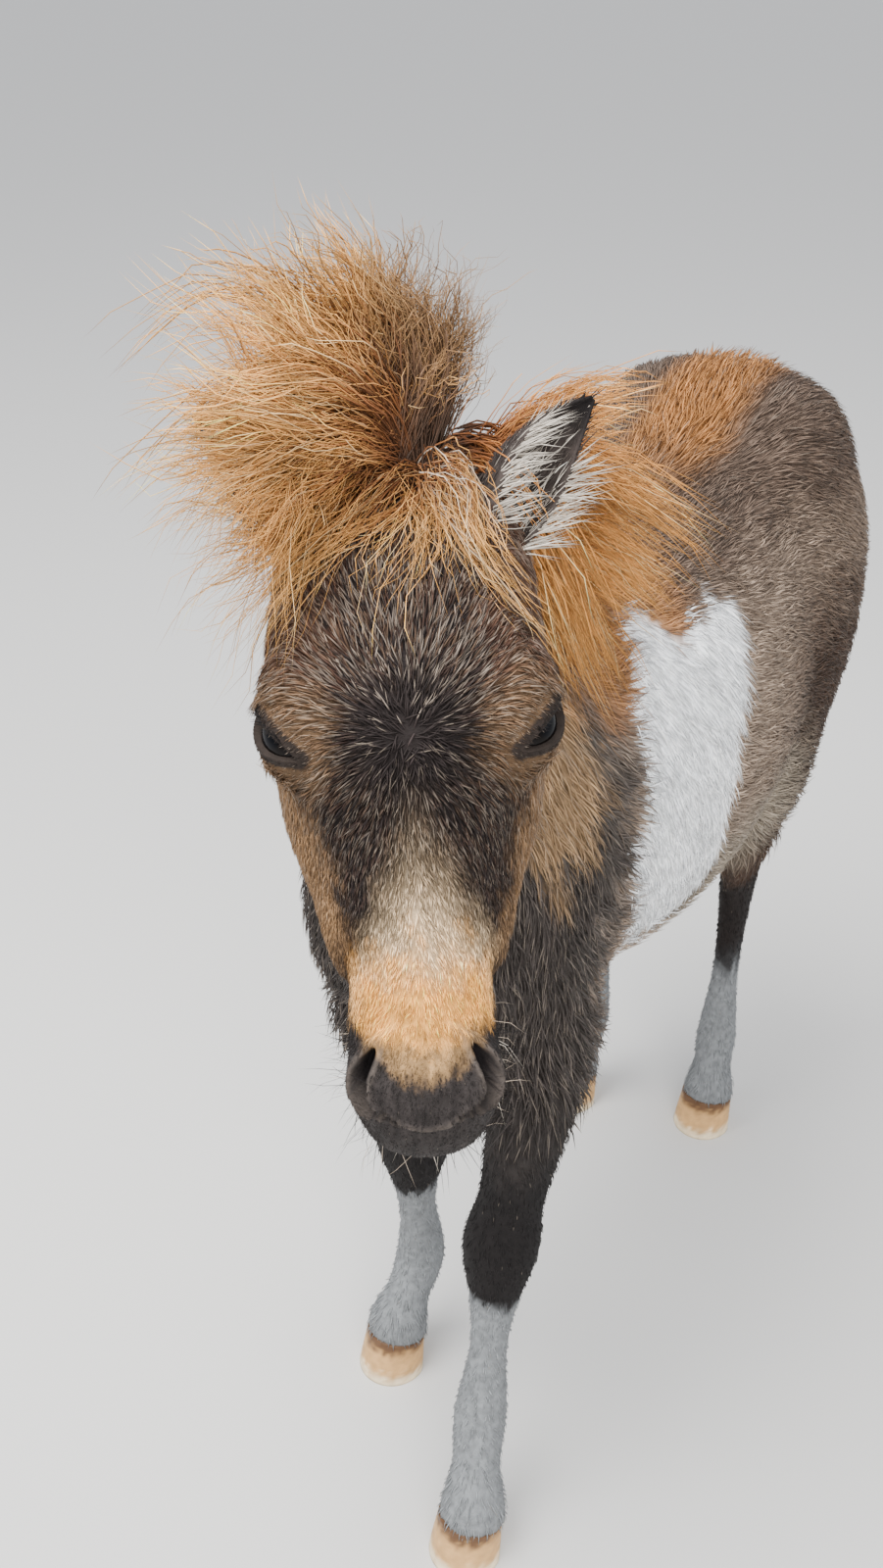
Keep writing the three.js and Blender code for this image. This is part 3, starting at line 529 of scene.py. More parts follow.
def new_mesh(name, points, faces, smooth_faces=True):
    faces = np.asarray(faces)
    size = faces.shape[1]
    mesh = bpy.data.meshes.new(name)
    mesh.vertices.add(len(points))
    mesh.vertices.foreach_set("co", to_model(points).ravel())
    mesh.loops.add(faces.size)
    mesh.loops.foreach_set("vertex_index", faces.ravel().astype(np.int32))
    mesh.polygons.add(len(faces))
    mesh.polygons.foreach_set("loop_start", np.arange(0, faces.size, size, dtype=np.int32))
    mesh.update(calc_edges=True)
    mesh.polygons.foreach_set("use_smooth", np.full(len(faces), smooth_faces))
    return mesh


def new_piece(name, mesh, material, replaced=()):
    piece = bpy.data.objects.new(name, mesh)
    bpy.context.collection.objects.link(piece)
    mesh.materials.append(material)
    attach(piece, "root")
    if replaced:
        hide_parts(*replaced)


def paint(mesh, colours):
    layer = mesh.color_attributes.new("coat", "FLOAT_COLOR", "POINT")
    rgba = np.ones((len(colours), 4), np.float32)
    rgba[:, :3] = colours
    layer.data.foreach_set("color", rgba.ravel())


# Colours, written as they look and changed to linear light
def colour(code):
    v = np.array([int(code[i:i + 2], 16) / 255 for i in (1, 3, 5)])
    return np.where(v <= 0.04045, v / 12.92, ((v + 0.055) / 1.055) ** 2.4)


BROWN = colour("#9c8978")
BACK = colour("#4f4037")
# Orange fluff along the top line, with painted light from above on it
LIT_TOP_FLUFF = colour("#a8723f")
RUST = colour("#a8774d")
HAUNCH = colour("#46352a")
BELLY = colour("#978b7b")
CHEST = colour("#3f3936")
NECK = colour("#5f5853")
WHITE = colour("#f2f4f6")
# White of the legs, painted grey as the shade under the body
SHADED_LEG_WHITE = colour("#85888a")
BLACK = colour("#1a1717")
FACE_DARK = colour("#221c1b")
NECK_TAN = colour("#ab8b67")
TEMPLE = colour("#54392b")
CHEEK = colour("#90704f")
BRIDGE = colour("#e0c49e")
APRICOT = colour("#f6ae4e")
MUZZLE = colour("#292524")
GOLD = colour("#dca560")
STRAW = colour("#e6c48f")
# Dark roots of the long hair: painted shade deep in the locks
SHADED_ROOT = colour("#30241d")
ORANGE = colour("#6b4328")
GREY_HAIR = colour("#5d4c40")
CREAM = colour("#cdc4b7")
FROST = colour("#b9a998")
LID = colour("#1d1a1a")
# Near black in the nostrils and along the mouth line: their dark skin painted darker still as the shade
# in these hollows
HOLLOW_SHADE = colour("#100c0d")
COAT_MIX = np.array([colour(code) for code in ("#221c1b", "#4a3327", "#6f5845", "#82766b")])
MUZZLE_RIM = colour("#5f564f")
MUZZLE_TOP = colour("#8a7050")
EAR = colour("#3d3633")
MANE = colour("#7c4a27")
MANE_TIP = colour("#cc9150")
EYE_TAN = colour("#735a41")
EYE_RIM = colour("#0f0c0c")
IRIS = colour("#0d0a09")
PUPIL = colour("#07080c")
TAIL = colour("#4e3c30")
TAIL_TIP = colour("#8d6a4c")
HORN = colour("#c49a66")
HORN_TOP = colour("#5d4430")
HORN_LOW = colour("#e2cfae")


def waves(p, scale, seed):
    """A cheap smooth noise between about -1 and 1."""
    draw = np.random.default_rng(seed)
    total = np.zeros(len(p))
    for octave in range(4):
        way = unit(draw.normal(size=(3, 3)))
        phase = draw.uniform(0, 2 * math.pi, 3)
        size = scale / 1.7**octave
        total += np.prod(np.sin(p @ way.T * (2 * math.pi / size) + phase), axis=1) / 1.35**octave
    return total / 1.1


def ridge(value, middle, width):
    return np.exp(-((value - middle) / width)**2)


def over(value, edge, softness):
    """1 where a value is past an edge, 0 before it, soft between."""
    return smooth((value - edge) / softness + 0.5)


def under(value, edge, softness):
    return smooth((edge - value) / softness + 0.5)


def towards(base, other, share):
    return base + (other - base) * share[:, None]


def layered(coat, *layers):
    """Colours laid over a coat one after another, each with its share at every point."""
    for tone, share in layers:
        coat = towards(coat, tone, share)
    return coat


# The white patch on the left shoulder and barrel: its front and back edge by height, its top edge
# by place along the body, its low edge and how far left of the middle it begins
patch_heights = [440, 480, 517, 578, 632, 667, 703, 750]
patch_front = [64, 40, 20, 0, 6, 8, 14, 30]
patch_back = [120, 124, 126, 118, 125, 150, 168, 176]
patch_top_places = [10, 50, 82, 149, 190]
patch_top_heights = [742, 752, 722, 730, 700]
patch_low = 478
patch_side = 40


def white_patch(p):
    rough = 7 * waves(p, 46, 3) + 3 * waves(p, 17, 4)
    x, y, z = p.T
    front = np.interp(z, patch_heights, patch_front) + rough
    back = np.interp(z, patch_heights, patch_back) + rough
    top = np.interp(y, patch_top_places, patch_top_heights) + rough
    low = patch_low + 2 * rough
    inside = np.minimum.reduce([y - front, back - y, top - z, z - low, x - patch_side])
    return over(inside, 0, 9)


# Legs: white below, painted grey as the shade under the body; black knees and hock; dark between the
# knees and the chest
leg_parting = 180


def leg_coat(p, base):
    x, y, z = p.T
    left = x > 0
    hind = y > leg_parting
    front = 1 - hind
    rough = 12 * waves(p * vec(1, 1, 0.4), 34, 5)
    knee_low = np.where(left, 218 - 0.25 * np.abs(x - 54), 204)
    return layered(
        base,
        # the legs' white, painted grey as shade
        (SHADED_LEG_WHITE, under(z, 232 + rough, 26)),
        (CHEST, front * over(z, 330 + rough, 60) * under(z, 470, 60)),
        (BLACK, front * over(z, knee_low + 0.6 * rough, 12) * under(z, 345 + rough, 50)),
        (BLACK, 0.55 * front * under(z, 430 + rough, 130) * over(z, 230, 20)),
        (BLACK, 0.92 * hind * left * over(z, 205 + 1.6 * rough, 30) * under(z, 335 + rough, 50)),
        (HAUNCH, hind * (1 - left) * over(z, 292 + rough, 24) * under(z, 400 + rough, 60)),
    )


# Body: a tan shade behind the cheek, rust on the left shoulder, and a pale line over the croup: orange
# fluff with painted light from above on it
neck_shade = vec(98, -80, 688)
neck_shade_size = vec(44, 38, 60)


def body_coat(p):
    x, y, z = p.T
    left = x > 0
    rough = 16 * waves(p, 80, 6)
    from_shade = np.linalg.norm((p - neck_shade) / neck_shade_size, axis=1)
    spine = under(np.abs(x), 36, 30) * over(z, 770, 20) * over(y, 40, 60)
    coat = layered(
        BROWN,
        (BACK, 0.85 * over(z, 722 + rough, 70)),
        (HAUNCH, over(y, 240 + 2 * rough, 180) * under(z, 680 + 2 * rough, 190)),
        (BELLY, under(z, 545 + rough, 90) * over(y, 105, 60) * under(y, 330, 90)),
        (NECK, under(y, 1.4 * rough - np.where(left, 6, -12), np.where(left, 60, 150))),
        (CHEST, under(z, 655 + rough, 130) * under(y, 1.3 * rough - 20, 110)),
        (NECK_TAN, 0.82 * under(from_shade - 0.03 * rough, 1, 0.8)),
        (RUST, 0.8 * over(x, 12, 40) * under(np.hypot(y - 40, 1.2 * (z - 758)), 80 + rough, 50)),
        # the spine and croup: orange fluff with painted light from above
        (LIT_TOP_FLUFF, spine * mix(0.35, 0.9, smooth((y - 200) / 120))),
    )
    streaks = 0.2 * waves(p * vec(1, 1, 0.4), 26, 14) + 0.1 * waves(p * vec(1, 1, 0.3), 9, 15)
    return towards(coat * (1 + streaks[:, None]), WHITE, white_patch(p))


# Face: dark, with tan round the eyes, a pale bridge that widens down the face, and a dark muzzle
eye_reach = 31
bridge_places = [164, 196, 228, 250]
bridge_halves = [2, 15, 32, 38]


def face_coat(p):
    down, out, side = in_head(p).T
    left = side > 0
    wide = np.abs(side)
    rough = 9 * waves(p, 42, 8) + 4 * waves(p, 15, 9)

    def grain(stretch, scale, seed):
        return waves(np.stack([side, stretch * down, 0 * side], 1), scale, seed)

    from_eye = p - np.where(left[:, None], eye_centre(1), eye_centre(-1))
    from_eye = np.linalg.norm(from_eye / (eye_reach + rough / 2)[:, None], axis=1)
    flank = under(out, rough - np.where(left, 24, 12), 30)
    flank = flank * over(down, 104, 50) * under(down, 236 + rough, 60)
    half = np.interp(down, bridge_places, bridge_halves)
    half = half * np.where(left, 1.0, mix(0.72, 1.0, smooth((down - 226) / 24)))
    bridge = over(down, 190 + 1.2 * rough, 100) * under(wide, half + 0.5 * rough, 30)
    nose = over(down, 236 + rough, 34) * under(wide, 34 + 0.3 * rough, 14)
    middle = np.cos(np.clip(side / 24, -1, 1) * math.pi / 2)
    muzzle_edge = 278 + 14 * middle + 0.4 * rough + 3 * grain(0.12, 8, 16)
    coat = layered(
        FACE_DARK,
        (TEMPLE, 0.7 * over(wide, 36 + rough, 18) * under(down, 120 + rough, 40)),
        (CHEEK, flank * np.where(left, 0.75, 0.9)),
        (EYE_TAN, 0.85 * under(from_eye, 1, 0.5)),
        (BRIDGE, 0.92 * bridge * over(out, -26, 24)),
        (APRICOT, 0.9 * nose * over(out, -30, 20)),
        (MUZZLE_TOP, 0.9 * over(down, 268 + 8 * middle + 0.5 * rough, 14)),
        (MUZZLE, over(down, muzzle_edge, 15)),
        (MUZZLE, over(down, 264 + 0.4 * rough, 12) * over(wide, 29 - 0.1 * (down - 270), 8)),
    )
    # Streaks down the muzzle painted darker and lighter: painted shade and light of wrinkles that the
    # mesh does not have
    wrinkle_shading = 0.3 * smooth((down - 255) / 20) * grain(0.15, 7, 17)
    coat = coat * (1 + wrinkle_shading)[:, None]
    return towards(coat, BROWN, 0.6 * under(out, rough - 78, 40) * under(down, 230, 60))


def marking(p):
    body = body_coat(p)
    body = mix(body, leg_coat(p, body), leg_share(p)[:, None])
    return mix(body, face_coat(p), head_share(p)[:, None])


# The lie of the coat: back along the trunk, down the neck and the legs, away from the whorl
whorl = vec(129, 32, -1)
neck_lie = vec(-0.15, 0.32, -1)
patch_lie = vec(-0.1, 0.3, -1)
leg_lie = vec(0, 0.12, -1)


def lie_of_coat(p, normals):
    x, y, z = p.T
    h = in_head(p)
    on_face = head_share(p)
    on_white = white_patch(p)
    lie = np.stack([0 * x, 0 * x + 1, -0.32 - 0.5 * smooth((y - 300) / 120)], 1)
    lie = mix(lie, neck_lie, smooth((20 - y) / 80)[:, None])
    lie = mix(lie, patch_lie, 0.85 * on_white[:, None])
    chest = smooth((-60 - y) / 50) * smooth((700 - z) / 80)
    lie = lie + chest[:, None] * np.stack([0.5 * np.sign(x), -0.5 + 0 * x, -0.7 + 0 * x], 1)
    lie = mix(lie, leg_lie, leg_share(p)[:, None])
    away = h - whorl
    away[:, 1] = 0
    distance = np.linalg.norm(away, axis=1)
    radial = unit(away) @ head_axes
    near = ridge(distance, 0, 75) + smooth(-away[:, 0] / 60) * smooth((56 - np.abs(h[:, 2])) / 20)
    near = np.clip(near, 0, 1)[:, None]
    back = smooth((-14 - h[:, 1]) / 40)[:, None]
    outward = np.sign(h[:, 2])[:, None] * head_side
    plain = head_down * (1 - 0.35 * back) + outward * 0.22 * (1 - back) - head_out * 0.85 * back
    lie = mix(lie, radial * near + plain * (1 - near), on_face[:, None])
    lie = unit(lie - normals * (lie * normals).sum(1, keepdims=True))
    swirl = (0.26 * waves(p, 80, 11) + 0.12 * waves(p, 26, 12)) * (1 - 0.75 * on_white)
    swirl = swirl * mix(1.0, 0.8, on_face) + 0.22 * waves(p, 11, 13) * on_face
    swirl = swirl + 2.6 * ridge(distance, 0, 12) * on_face * waves(p, 4, 19)
    across = np.cross(normals, lie)
    return unit(lie * np.cos(swirl)[:, None] + across * np.sin(swirl)[:, None])


# Finer faces on the head, finest round the eyes, nostrils and mouth
def split(points, faces, chosen):
    """Cuts the chosen triangles in four and their neighbours to match."""
    edges = np.sort(np.concatenate([faces[:, [0, 1]], faces[:, [1, 2]], faces[:, [2, 0]]]), axis=1)
    keys = edges[:, 0].astype(np.int64) * len(points) + edges[:, 1]
    cut = np.unique(keys[np.tile(chosen, 3)])
    middle = (points[cut // len(points)] + points[cut % len(points)]) / 2
    spot = np.searchsorted(cut, keys)
    spot = np.minimum(spot, len(cut) - 1)
    marked = np.where(cut[spot] == keys, spot + len(points), -1).reshape(3, -1).T
    made = []
    a, b, c = faces.T
    ab, bc, ca = marked.T
    number = (marked >= 0).sum(1)
    whole = number == 0
    made.append(faces[whole])
    k = number == 3
    made += [np.stack(t, 1)[k] for t in ((a, ab, ca), (ab, b, bc), (ca, bc, c), (ab, bc, ca))]
    for turn in range(3):
        p0, p1, p2 = np.roll(faces, -turn, 1).T
        m0, m1, _ = np.roll(marked, -turn, 1).T
        one = (number == 1) & (m0 >= 0)
        made += [np.stack(t, 1)[one] for t in ((p0, m0, p2), (m0, p1, p2))]
        two = (number == 2) & (m0 >= 0) & (m1 >= 0)
        made += [np.stack(t, 1)[two] for t in ((m0, p1, m1), (p0, m0, m1), (p0, m1, p2))]
    return np.vstack([points, middle]), np.concatenate(made)


skin_low = vec(-180, -480, 10)
skin_high = vec(250, 560, 990)
skin_cell = 7.0
muzzle_start = 240


def make_skin_shape():
    points, quads = surface(skin_field, skin_low, skin_high, skin_cell)
    faces = np.concatenate([quads[:, [0, 1, 2]], quads[:, [0, 2, 3]]])
    points, faces = split(points, faces, head_share(points[faces].mean(1)) > 0.5)
    centres = points[faces].mean(1)
    detailed = (in_head(centres)[:, 0] > muzzle_start) | near_eye(centres, 24)
    points, faces = split(points, faces, (head_share(centres) > 0.9) & detailed)
    points, faces = split(points, faces, near_eye(points[faces].mean(1), 8))
    return relaxed(settle(points, skin_field), faces), faces


def relaxed(points, faces, passes=6):
    """Evens out the trunk's skin; the head and the legs stay as they are."""
    share = ((1 - head_share(points)) * (1 - leg_share(points)))[:, None] * 0.6
    a = faces.ravel()
    b = np.roll(faces, -1, 1).ravel()
    number = np.bincount(a, minlength=len(points))[:, None]
    for _ in range(passes):
        total = np.stack([np.bincount(a, points[b, i], len(points)) for i in range(3)], 1)
        points = mix(points, total / number, share)
    return points


def near_eye(points, reach):
    """Points on the open side of an eye's ball and within a reach of it."""
    near = np.zeros(len(points), bool)
    for s in (-1, 1):
        centre, look, _, _ = eye_axes(s)
        q = points - centre
        near |= (np.linalg.norm(q, axis=1) < eye_radius + reach) & (q @ look > -2)
    return near


# The slit of the eye, its lids and their folds are pressed into the skin round the ball
def slit_gap(points, s):
    """Angle on the ball from the edge of the slit, negative inside, and the place on the ball."""
    centre, look, inner, up = eye_axes(s)
    q = points - centre
    away = np.linalg.norm(q, axis=1)
    q = unit(q)
    lift = np.arcsin(np.clip(q @ up, -1, 1))
    turn = np.arctan2(q @ inner, q @ look)
    share = np.maximum(1 - (turn / slit_corner)**2, 0)
    edge = np.where(lift > 0, slit_above, slit_below) * share
    past = np.maximum(np.abs(turn) - slit_corner, 0)
    gap = np.where(past > 0, np.hypot(lift, past), np.abs(lift) - edge)
    return gap, turn, lift, away, q


# Folds of the lids: (angle from the slit, width, depth)
upper_folds = [(0.48, 0.07, 1.5), (0.78, 0.08, 0.9)]
lower_folds = [(0.36, 0.07, 1.0), (0.62, 0.08, 0.6)]
fold_corner = 1.35
lid_shell = 8
slit_sink = 3
lid_reach = 9
far_angle = 9.0


def folds(gap, rows):
    return sum(depth * ridge(gap, middle, width) for middle, width, depth in rows)


def press_eyes(points):
    """Sinks the skin inside the slit under the ball, with a raised margin and folds round it."""
    for s in (-1, 1):
        gap, turn, lift, away, way = slit_gap(points, s)
        near = np.abs(away - eye_radius) < lid_shell
        inside = smooth((0.015 - gap) / 0.07)
        middle = np.maximum(1 - (turn / fold_corner)**2, 0)
        fold = np.where(lift > 0, folds(gap, upper_folds), folds(gap, lower_folds)) * middle
        margin = 0.5 * ridge(gap, 0.05, 0.04)
        radius = mix(away, eye_radius - slit_sink, inside) + margin - fold
        points = np.where(near[:, None], eye_centre(s) + way * radius[:, None], points)
    return points


def off_slit(points):
    """How far points lie outside the slit of the nearer eye, in radians of its ball."""
    best = np.full(len(points), far_angle)
    for s in (-1, 1):
        gap, _, _, away, _ = slit_gap(points, s)
        best = np.minimum(best, np.where(away < eye_radius + lid_reach, gap, far_angle))
    return best


# Muzzle details are pressed into the skin: nostrils, mouth line, lips and chin
nostril_half_length = 15.5
nostril_half_width = 4.1
nostril_reach = 24
nostril_depth = 15
nostril_rim = 2.4
lip_height = 1.3
mouth_depth = 3.6
mouth_start = 246


def nostril_frame(s):
    rim = on_head(297, -5, s * 29)
    inward = unit(-0.6 * head_down - 0.55 * head_out - s * 0.52 * head_side)
    long = 0.74 * head_down - 0.62 * head_out - s * 0.34 * head_side
    long = unit(long - inward * (long @ inward))
    lateral = np.cross(inward, long)
    return rim, inward, long, lateral * np.sign(s * (lateral @ head_side))


def nostril_shape(points):
    """Distance from each nostril's middle in its own widths (1 at the rim), and its way in."""
    near = np.full(len(points), 9.0)
    ways = np.zeros_like(points)
    for s in (-1, 1):
        rim, inward, long, lateral = nostril_frame(s)
        q = points - rim
        a, b = q @ long, q @ lateral
        b = b + 0.034 * (a + 4)**2 - 2.5
        wide = nostril_half_width * (1 - 0.35 * np.clip(a / 14, -1, 1))
        r = np.hypot(a / nostril_half_length, b / wide) + 9 * (np.abs(q @ inward) > nostril_reach)
        ways = np.where((r < near)[:, None], inward, ways)
        near = np.minimum(near, r)
    return near, ways


def press_muzzle(points, normals):
    r, inward = nostril_shape(points)
    hole = smooth((1.12 - r) / 0.42)
    rim = nostril_rim * ridge(r, 1.38, 0.3) * (1 - hole)
    points = points + inward * (nostril_depth * hole)[:, None] + normals * rim[:, None]
    h = in_head(points)
    reach = smooth((h[:, 0] - mouth_start) / 14)
    gap = h[:, 1] - mouth_level(h)
    groove = ridge(gap, 0, 1.6) * reach
    lips = (ridge(gap, 6, 4.5) + ridge(gap, -6, 4.5)) * reach
    return points + normals * (lip_height * lips - mouth_depth * groove)[:, None]


def mouth_level(h):
    return -47 + 0.011 * h[:, 2]**2 - 0.08 * (305 - h[:, 0])


def vertex_normals(points, faces):
    a, b, c = points[faces[:, 0]], points[faces[:, 1]], points[faces[:, 2]]
    face_normals = np.cross(b - a, c - a)
    normals = np.zeros_like(points)
    for k in range(3):
        for axis in range(3):
            normals[:, axis] += np.bincount(faces[:, k], face_normals[:, axis], len(points))
    return unit(normals)


# Lofts: closed rings of points joined into a skin
def loft(rings, capped=True):
    rings = np.asarray(rings)
    count, size = rings.shape[:2]
    points = rings.reshape(-1, 3)
    around = np.arange(size)
    onward = (around + 1) % size
    a = np.arange(count - 1)[:, None] * size + around
    b = np.arange(count - 1)[:, None] * size + onward
    faces = np.concatenate([
        np.stack([a, b, b + size], -1).reshape(-1, 3),
        np.stack([a, b + size, a + size], -1).reshape(-1, 3)])
    if capped:
        for ring, flip in ((0, True), (count - 1, False)):
            hubs = np.full(size, len(points))
            points = np.vstack([points, rings[ring].mean(0)])
            one, two = ring * size + around, ring * size + onward
            faces = np.vstack([faces, np.stack([hubs, two, one] if flip else [hubs, one, two], 1)])
    return outward_faces(points, faces)


def outward_faces(points, faces):
    a, b, c = points[faces[:, 0]], points[faces[:, 1]], points[faces[:, 2]]
    volume = (a * np.cross(b, c)).sum()
    return points, (faces if volume > 0 else faces[:, ::-1])


# Ears: a leaf shaped cup whose opening faces forward and out. A station is (height, radius, half
# the turn of the cup in radians)
ear_stations = [(-36, 13, 2.7), (0, 16, 2.6), (22, 19.5, 2.2), (46, 20.5, 1.9), (70, 16.5, 1.6),
                (90, 9, 1.4), (ear_length - 2, 2.2, 1.3)]


def ear_axes(s):
    base = on_head(28, -24, s * 42)
    axis = unit(-0.77 * head_down + s * 0.61 * head_side - 0.18 * head_out)
    opening = 0.72 * head_out + s * 0.7 * head_side
    opening = unit(opening - axis * (opening @ axis))
    return base, axis, opening, np.cross(axis, opening)


def ear_shape(s, arc_steps=18, height_steps=30):
    base, axis, opening, broad = ear_axes(s)
    turns = np.linspace(-1, 1, arc_steps + 1)[:, None]
    rings = []
    for height, radius, spread in curve(ear_stations, np.linspace(0, 1, height_steps)):
        bow = 10 * math.sin(math.pi * max(0, height) / ear_length)
        centre = base + axis * height - opening * bow * 0.4
        out, across = opening * np.cos(spread * turns), broad * np.sin(spread * turns)
        inner = max(radius - ear_wall, 0.4 * radius)
        outer_arc, inner_arc = (centre - out * r + across * r for r in (radius, inner))
        rings.append(np.vstack([outer_arc, inner_arc[::-1]]))
    return loft(rings, capped=False)


def joined(shapes):
    points, faces, offset = [], [], 0
    for p, f in shapes:
        points.append(p)
        faces.append(f + offset)
        offset += len(p)
    return np.vstack(points), np.concatenate(faces)


# Materials
def principled(name, roughness, specular=0.5):
    material = bpy.data.materials.new(name)
    material.use_nodes = True
    nodes = material.node_tree.nodes
    shader = nodes["Principled BSDF"]
    shader.inputs["Roughness"].default_value = roughness
    shader.inputs["Specular IOR Level"].default_value = specular
    return material, nodes, material.node_tree.links, shader


def noise_node(nodes, links, place, scale, detail):
    noise = nodes.new("ShaderNodeTexNoise")
    noise.inputs["Scale"].default_value = scale
    noise.inputs["Detail"].default_value = detail
    links.new(place.outputs["Object"], noise.inputs["Vector"])
    return noise.outputs["Fac"]


def painted(nodes):
    """The colour that is painted on the mesh."""
    node = nodes.new("ShaderNodeAttribute")
    node.attribute_name = "coat"
    return node.outputs["Color"]


def coat_material(name, roughness, variation, scale, specular=0.16, bump=None):
    """The painted colour varied by noise; bump is the strength and scale of a fine relief."""
    material, nodes, links, shader = principled(name, roughness, specular)
    place = nodes.new("ShaderNodeTexCoord")
    spread = nodes.new("ShaderNodeMapRange")
    spread.inputs["From Min"].default_value = 0.3
    spread.inputs["From Max"].default_value = 0.7
    spread.inputs["To Min"].default_value = 1 - variation
    spread.inputs["To Max"].default_value = 1 + variation
    links.new(noise_node(nodes, links, place, scale, 4), spread.inputs["Value"])
    shade = nodes.new("ShaderNodeVectorMath")
    shade.operation = "SCALE"
    links.new(painted(nodes), shade.inputs[0])
    links.new(spread.outputs["Result"], shade.inputs["Scale"])
    links.new(shade.outputs["Vector"], shader.inputs["Base Color"])
    if bump:
        height = nodes.new("ShaderNodeBump")
        height.inputs["Strength"].default_value = bump[0]
        height.inputs["Distance"].default_value = MM
        links.new(noise_node(nodes, links, place, bump[1], 3), height.inputs["Height"])
        links.new(height.outputs["Normal"], shader.inputs["Normal"])
    return material


skin_material = coat_material("skin", roughness=0.8, variation=0.25, scale=160, bump=(0.6, 700))
fur_material = coat_material("fur", roughness=0.7, variation=0.18, scale=60)
long_hair_material = coat_material("long_hair", roughness=0.6, variation=0.2, scale=40,
                                   specular=0.12)

# Skin
skin_points, skin_faces = make_skin_shape()
skin_points = press_muzzle(skin_points, vertex_normals(skin_points, skin_faces))
skin_points = press_eyes(skin_points)
ear_shapes = [ear_shape(s) for s in (-1, 1)]
skin_normals = vertex_normals(skin_points, skin_faces)


def lid_share(p):
    """Where the bare dark skin of the lids shows: deep above the slit, a thin edge below it."""
    above_eye = np.maximum(*[(p - eye_centre(s)) @ eye_axes(s)[3] for s in (-1, 1)])
    return 0.9 * under(off_slit(p), np.where(above_eye > 0, 0.3, 0.07), 0.12)


def skin_colours(p):
    h = in_head(p)
    face = head_share(p)
    bare = smooth((h[:, 0] - 262) / 24) * face
    # The skin under the coat is painted darker than the coat, as painted shade among the hairs: less
    # under the white patch, most on the face, none on the bare muzzle
    shade = mix(mix(0.78, 1.0, white_patch(p)), 0.62, face)
    nostril, _ = nostril_shape(p)
    lips = ridge(h[:, 1], mouth_level(h), 2.4) * smooth((h[:, 0] - 250) / 14) * face
    return layered(
        marking(p) * mix(shade, 1.0, bare)[:, None],
        (LID, lid_share(p)),
        # inside the nostrils: dark skin with painted shade of the holes
        (HOLLOW_SHADE, under(nostril, 1.0, 0.4) * face),
        (MUZZLE_RIM, 0.45 * ridge(nostril, 1.45, 0.25) * face),
        # the mouth line painted dark as the shade in its groove
        (HOLLOW_SHADE, 0.6 * lips),
    )


def ear_colours(p, s):
    base, axis, _, _ = ear_axes(s)
    return towards(EAR, BLACK, over((p - base) @ axis, 84, 26))


all_points, all_faces = joined([(skin_points, skin_faces), *ear_shapes])
skin_mesh = new_mesh("skin", all_points, all_faces)
ear_tones = [ear_colours(shape[0], s) for shape, s in zip(ear_shapes, (-1, 1))]
paint(skin_mesh, np.vstack([skin_colours(skin_points), *ear_tones]))
flesh = ["torso", "neck", "head", "ear_left", "ear_right"] + ["leg_" + name for name in soles]
new_piece("skin", skin_mesh, skin_material, flesh)


# Hair: closed, three-sided, tapering, one for each path
uv_patch = 0.003


def hair_piece(name, paths, widths, ups, colours, places, material, replaced=()):
    """paths (n, k, 3) from root to tip, widths (n, k), ups (n, 3), colours (n, k, 3), places (n, 2)."""
    n, k = paths.shape[:2]
    along = unit(np.gradient(paths, axis=1))
    across = unit(np.cross(along, ups[:, None]))
    out = np.cross(across, along)
    w = widths[:, :-1, None] / 2
    rings = np.stack([
        paths[:, :-1] - across[:, :-1] * w,
        paths[:, :-1] + across[:, :-1] * w,
        paths[:, :-1] + out[:, :-1] * w * 0.8,
    ], 2)
    points = np.concatenate([rings.reshape(n, -1, 3), paths[:, -1:]], 1)
    size = points.shape[1]
    faces = []
    for ring in range(k - 2):
        for side in range(3):
            a = 3 * ring + side
            b = 3 * ring + (side + 1) % 3
            faces += [(a, b, b + 3), (a, b + 3, a + 3)]
    last = 3 * (k - 2)
    faces += [(last + side, last + (side + 1) % 3, size - 1) for side in range(3)]
    faces = np.array(faces)
    all_faces = (faces[None] + np.arange(n)[:, None, None] * size).reshape(-1, 3)
    mesh = new_mesh(name, points.reshape(-1, 3), all_faces)
    ring_colours = np.repeat(colours[:, :-1], 3, axis=1)
    paint(mesh, np.concatenate([ring_colours, colours[:, -1:]], 1).reshape(-1, 3))
    u = np.tile([-0.5, 0.5, 0.0], k - 1)
    v = np.repeat(np.linspace(-0.5, 0.5, k)[:-1], 3)
    local = np.vstack([np.stack([u, v], 1), [0, 0.5]]) * uv_patch
    uv = (places[:, None] + local[None]).reshape(-1, 2)
    layer = mesh.uv_layers.new(name="OFBake")
    layer.data.foreach_set("uv", uv[all_faces.ravel()].astype(np.float32).ravel())
    print(name, len(all_faces), "triangles")
    new_piece(name, mesh, material, replaced)


class Roots:
    """Roots of hairs spread evenly over a surface, thinned by a density, in a random order."""

    def __init__(self, count, density, seed, shape=(skin_points, skin_faces, skin_normals)):
        points, faces, normals = shape
        draw = np.random.default_rng(seed)
        corners = points[faces]
        sides = corners[:, 1:] - corners[:, :1]
        area = np.linalg.norm(np.cross(sides[:, 0], sides[:, 1]), axis=1)
        share = np.cumsum(area * density(corners.mean(1)))
        picks = (np.arange(count) + draw.uniform(0, 1, count)) / count * share[-1]
        face = np.minimum(np.searchsorted(share, picks), len(share) - 1)
        r1, r2 = np.sqrt(draw.uniform(0, 1, count)), draw.uniform(0, 1, count)
        weights = np.stack([1 - r1, r1 * (1 - r2), r1 * r2], 1)[:, :, None]
        order = draw.permutation(count)
        self.points = (corners[face] * weights).sum(1)[order]
        self.normals = unit((normals[faces[face]] * weights).sum(1))[order]
        self.lie = lie_of_coat(self.points, self.normals)
        self.draw = draw
        self.count = count


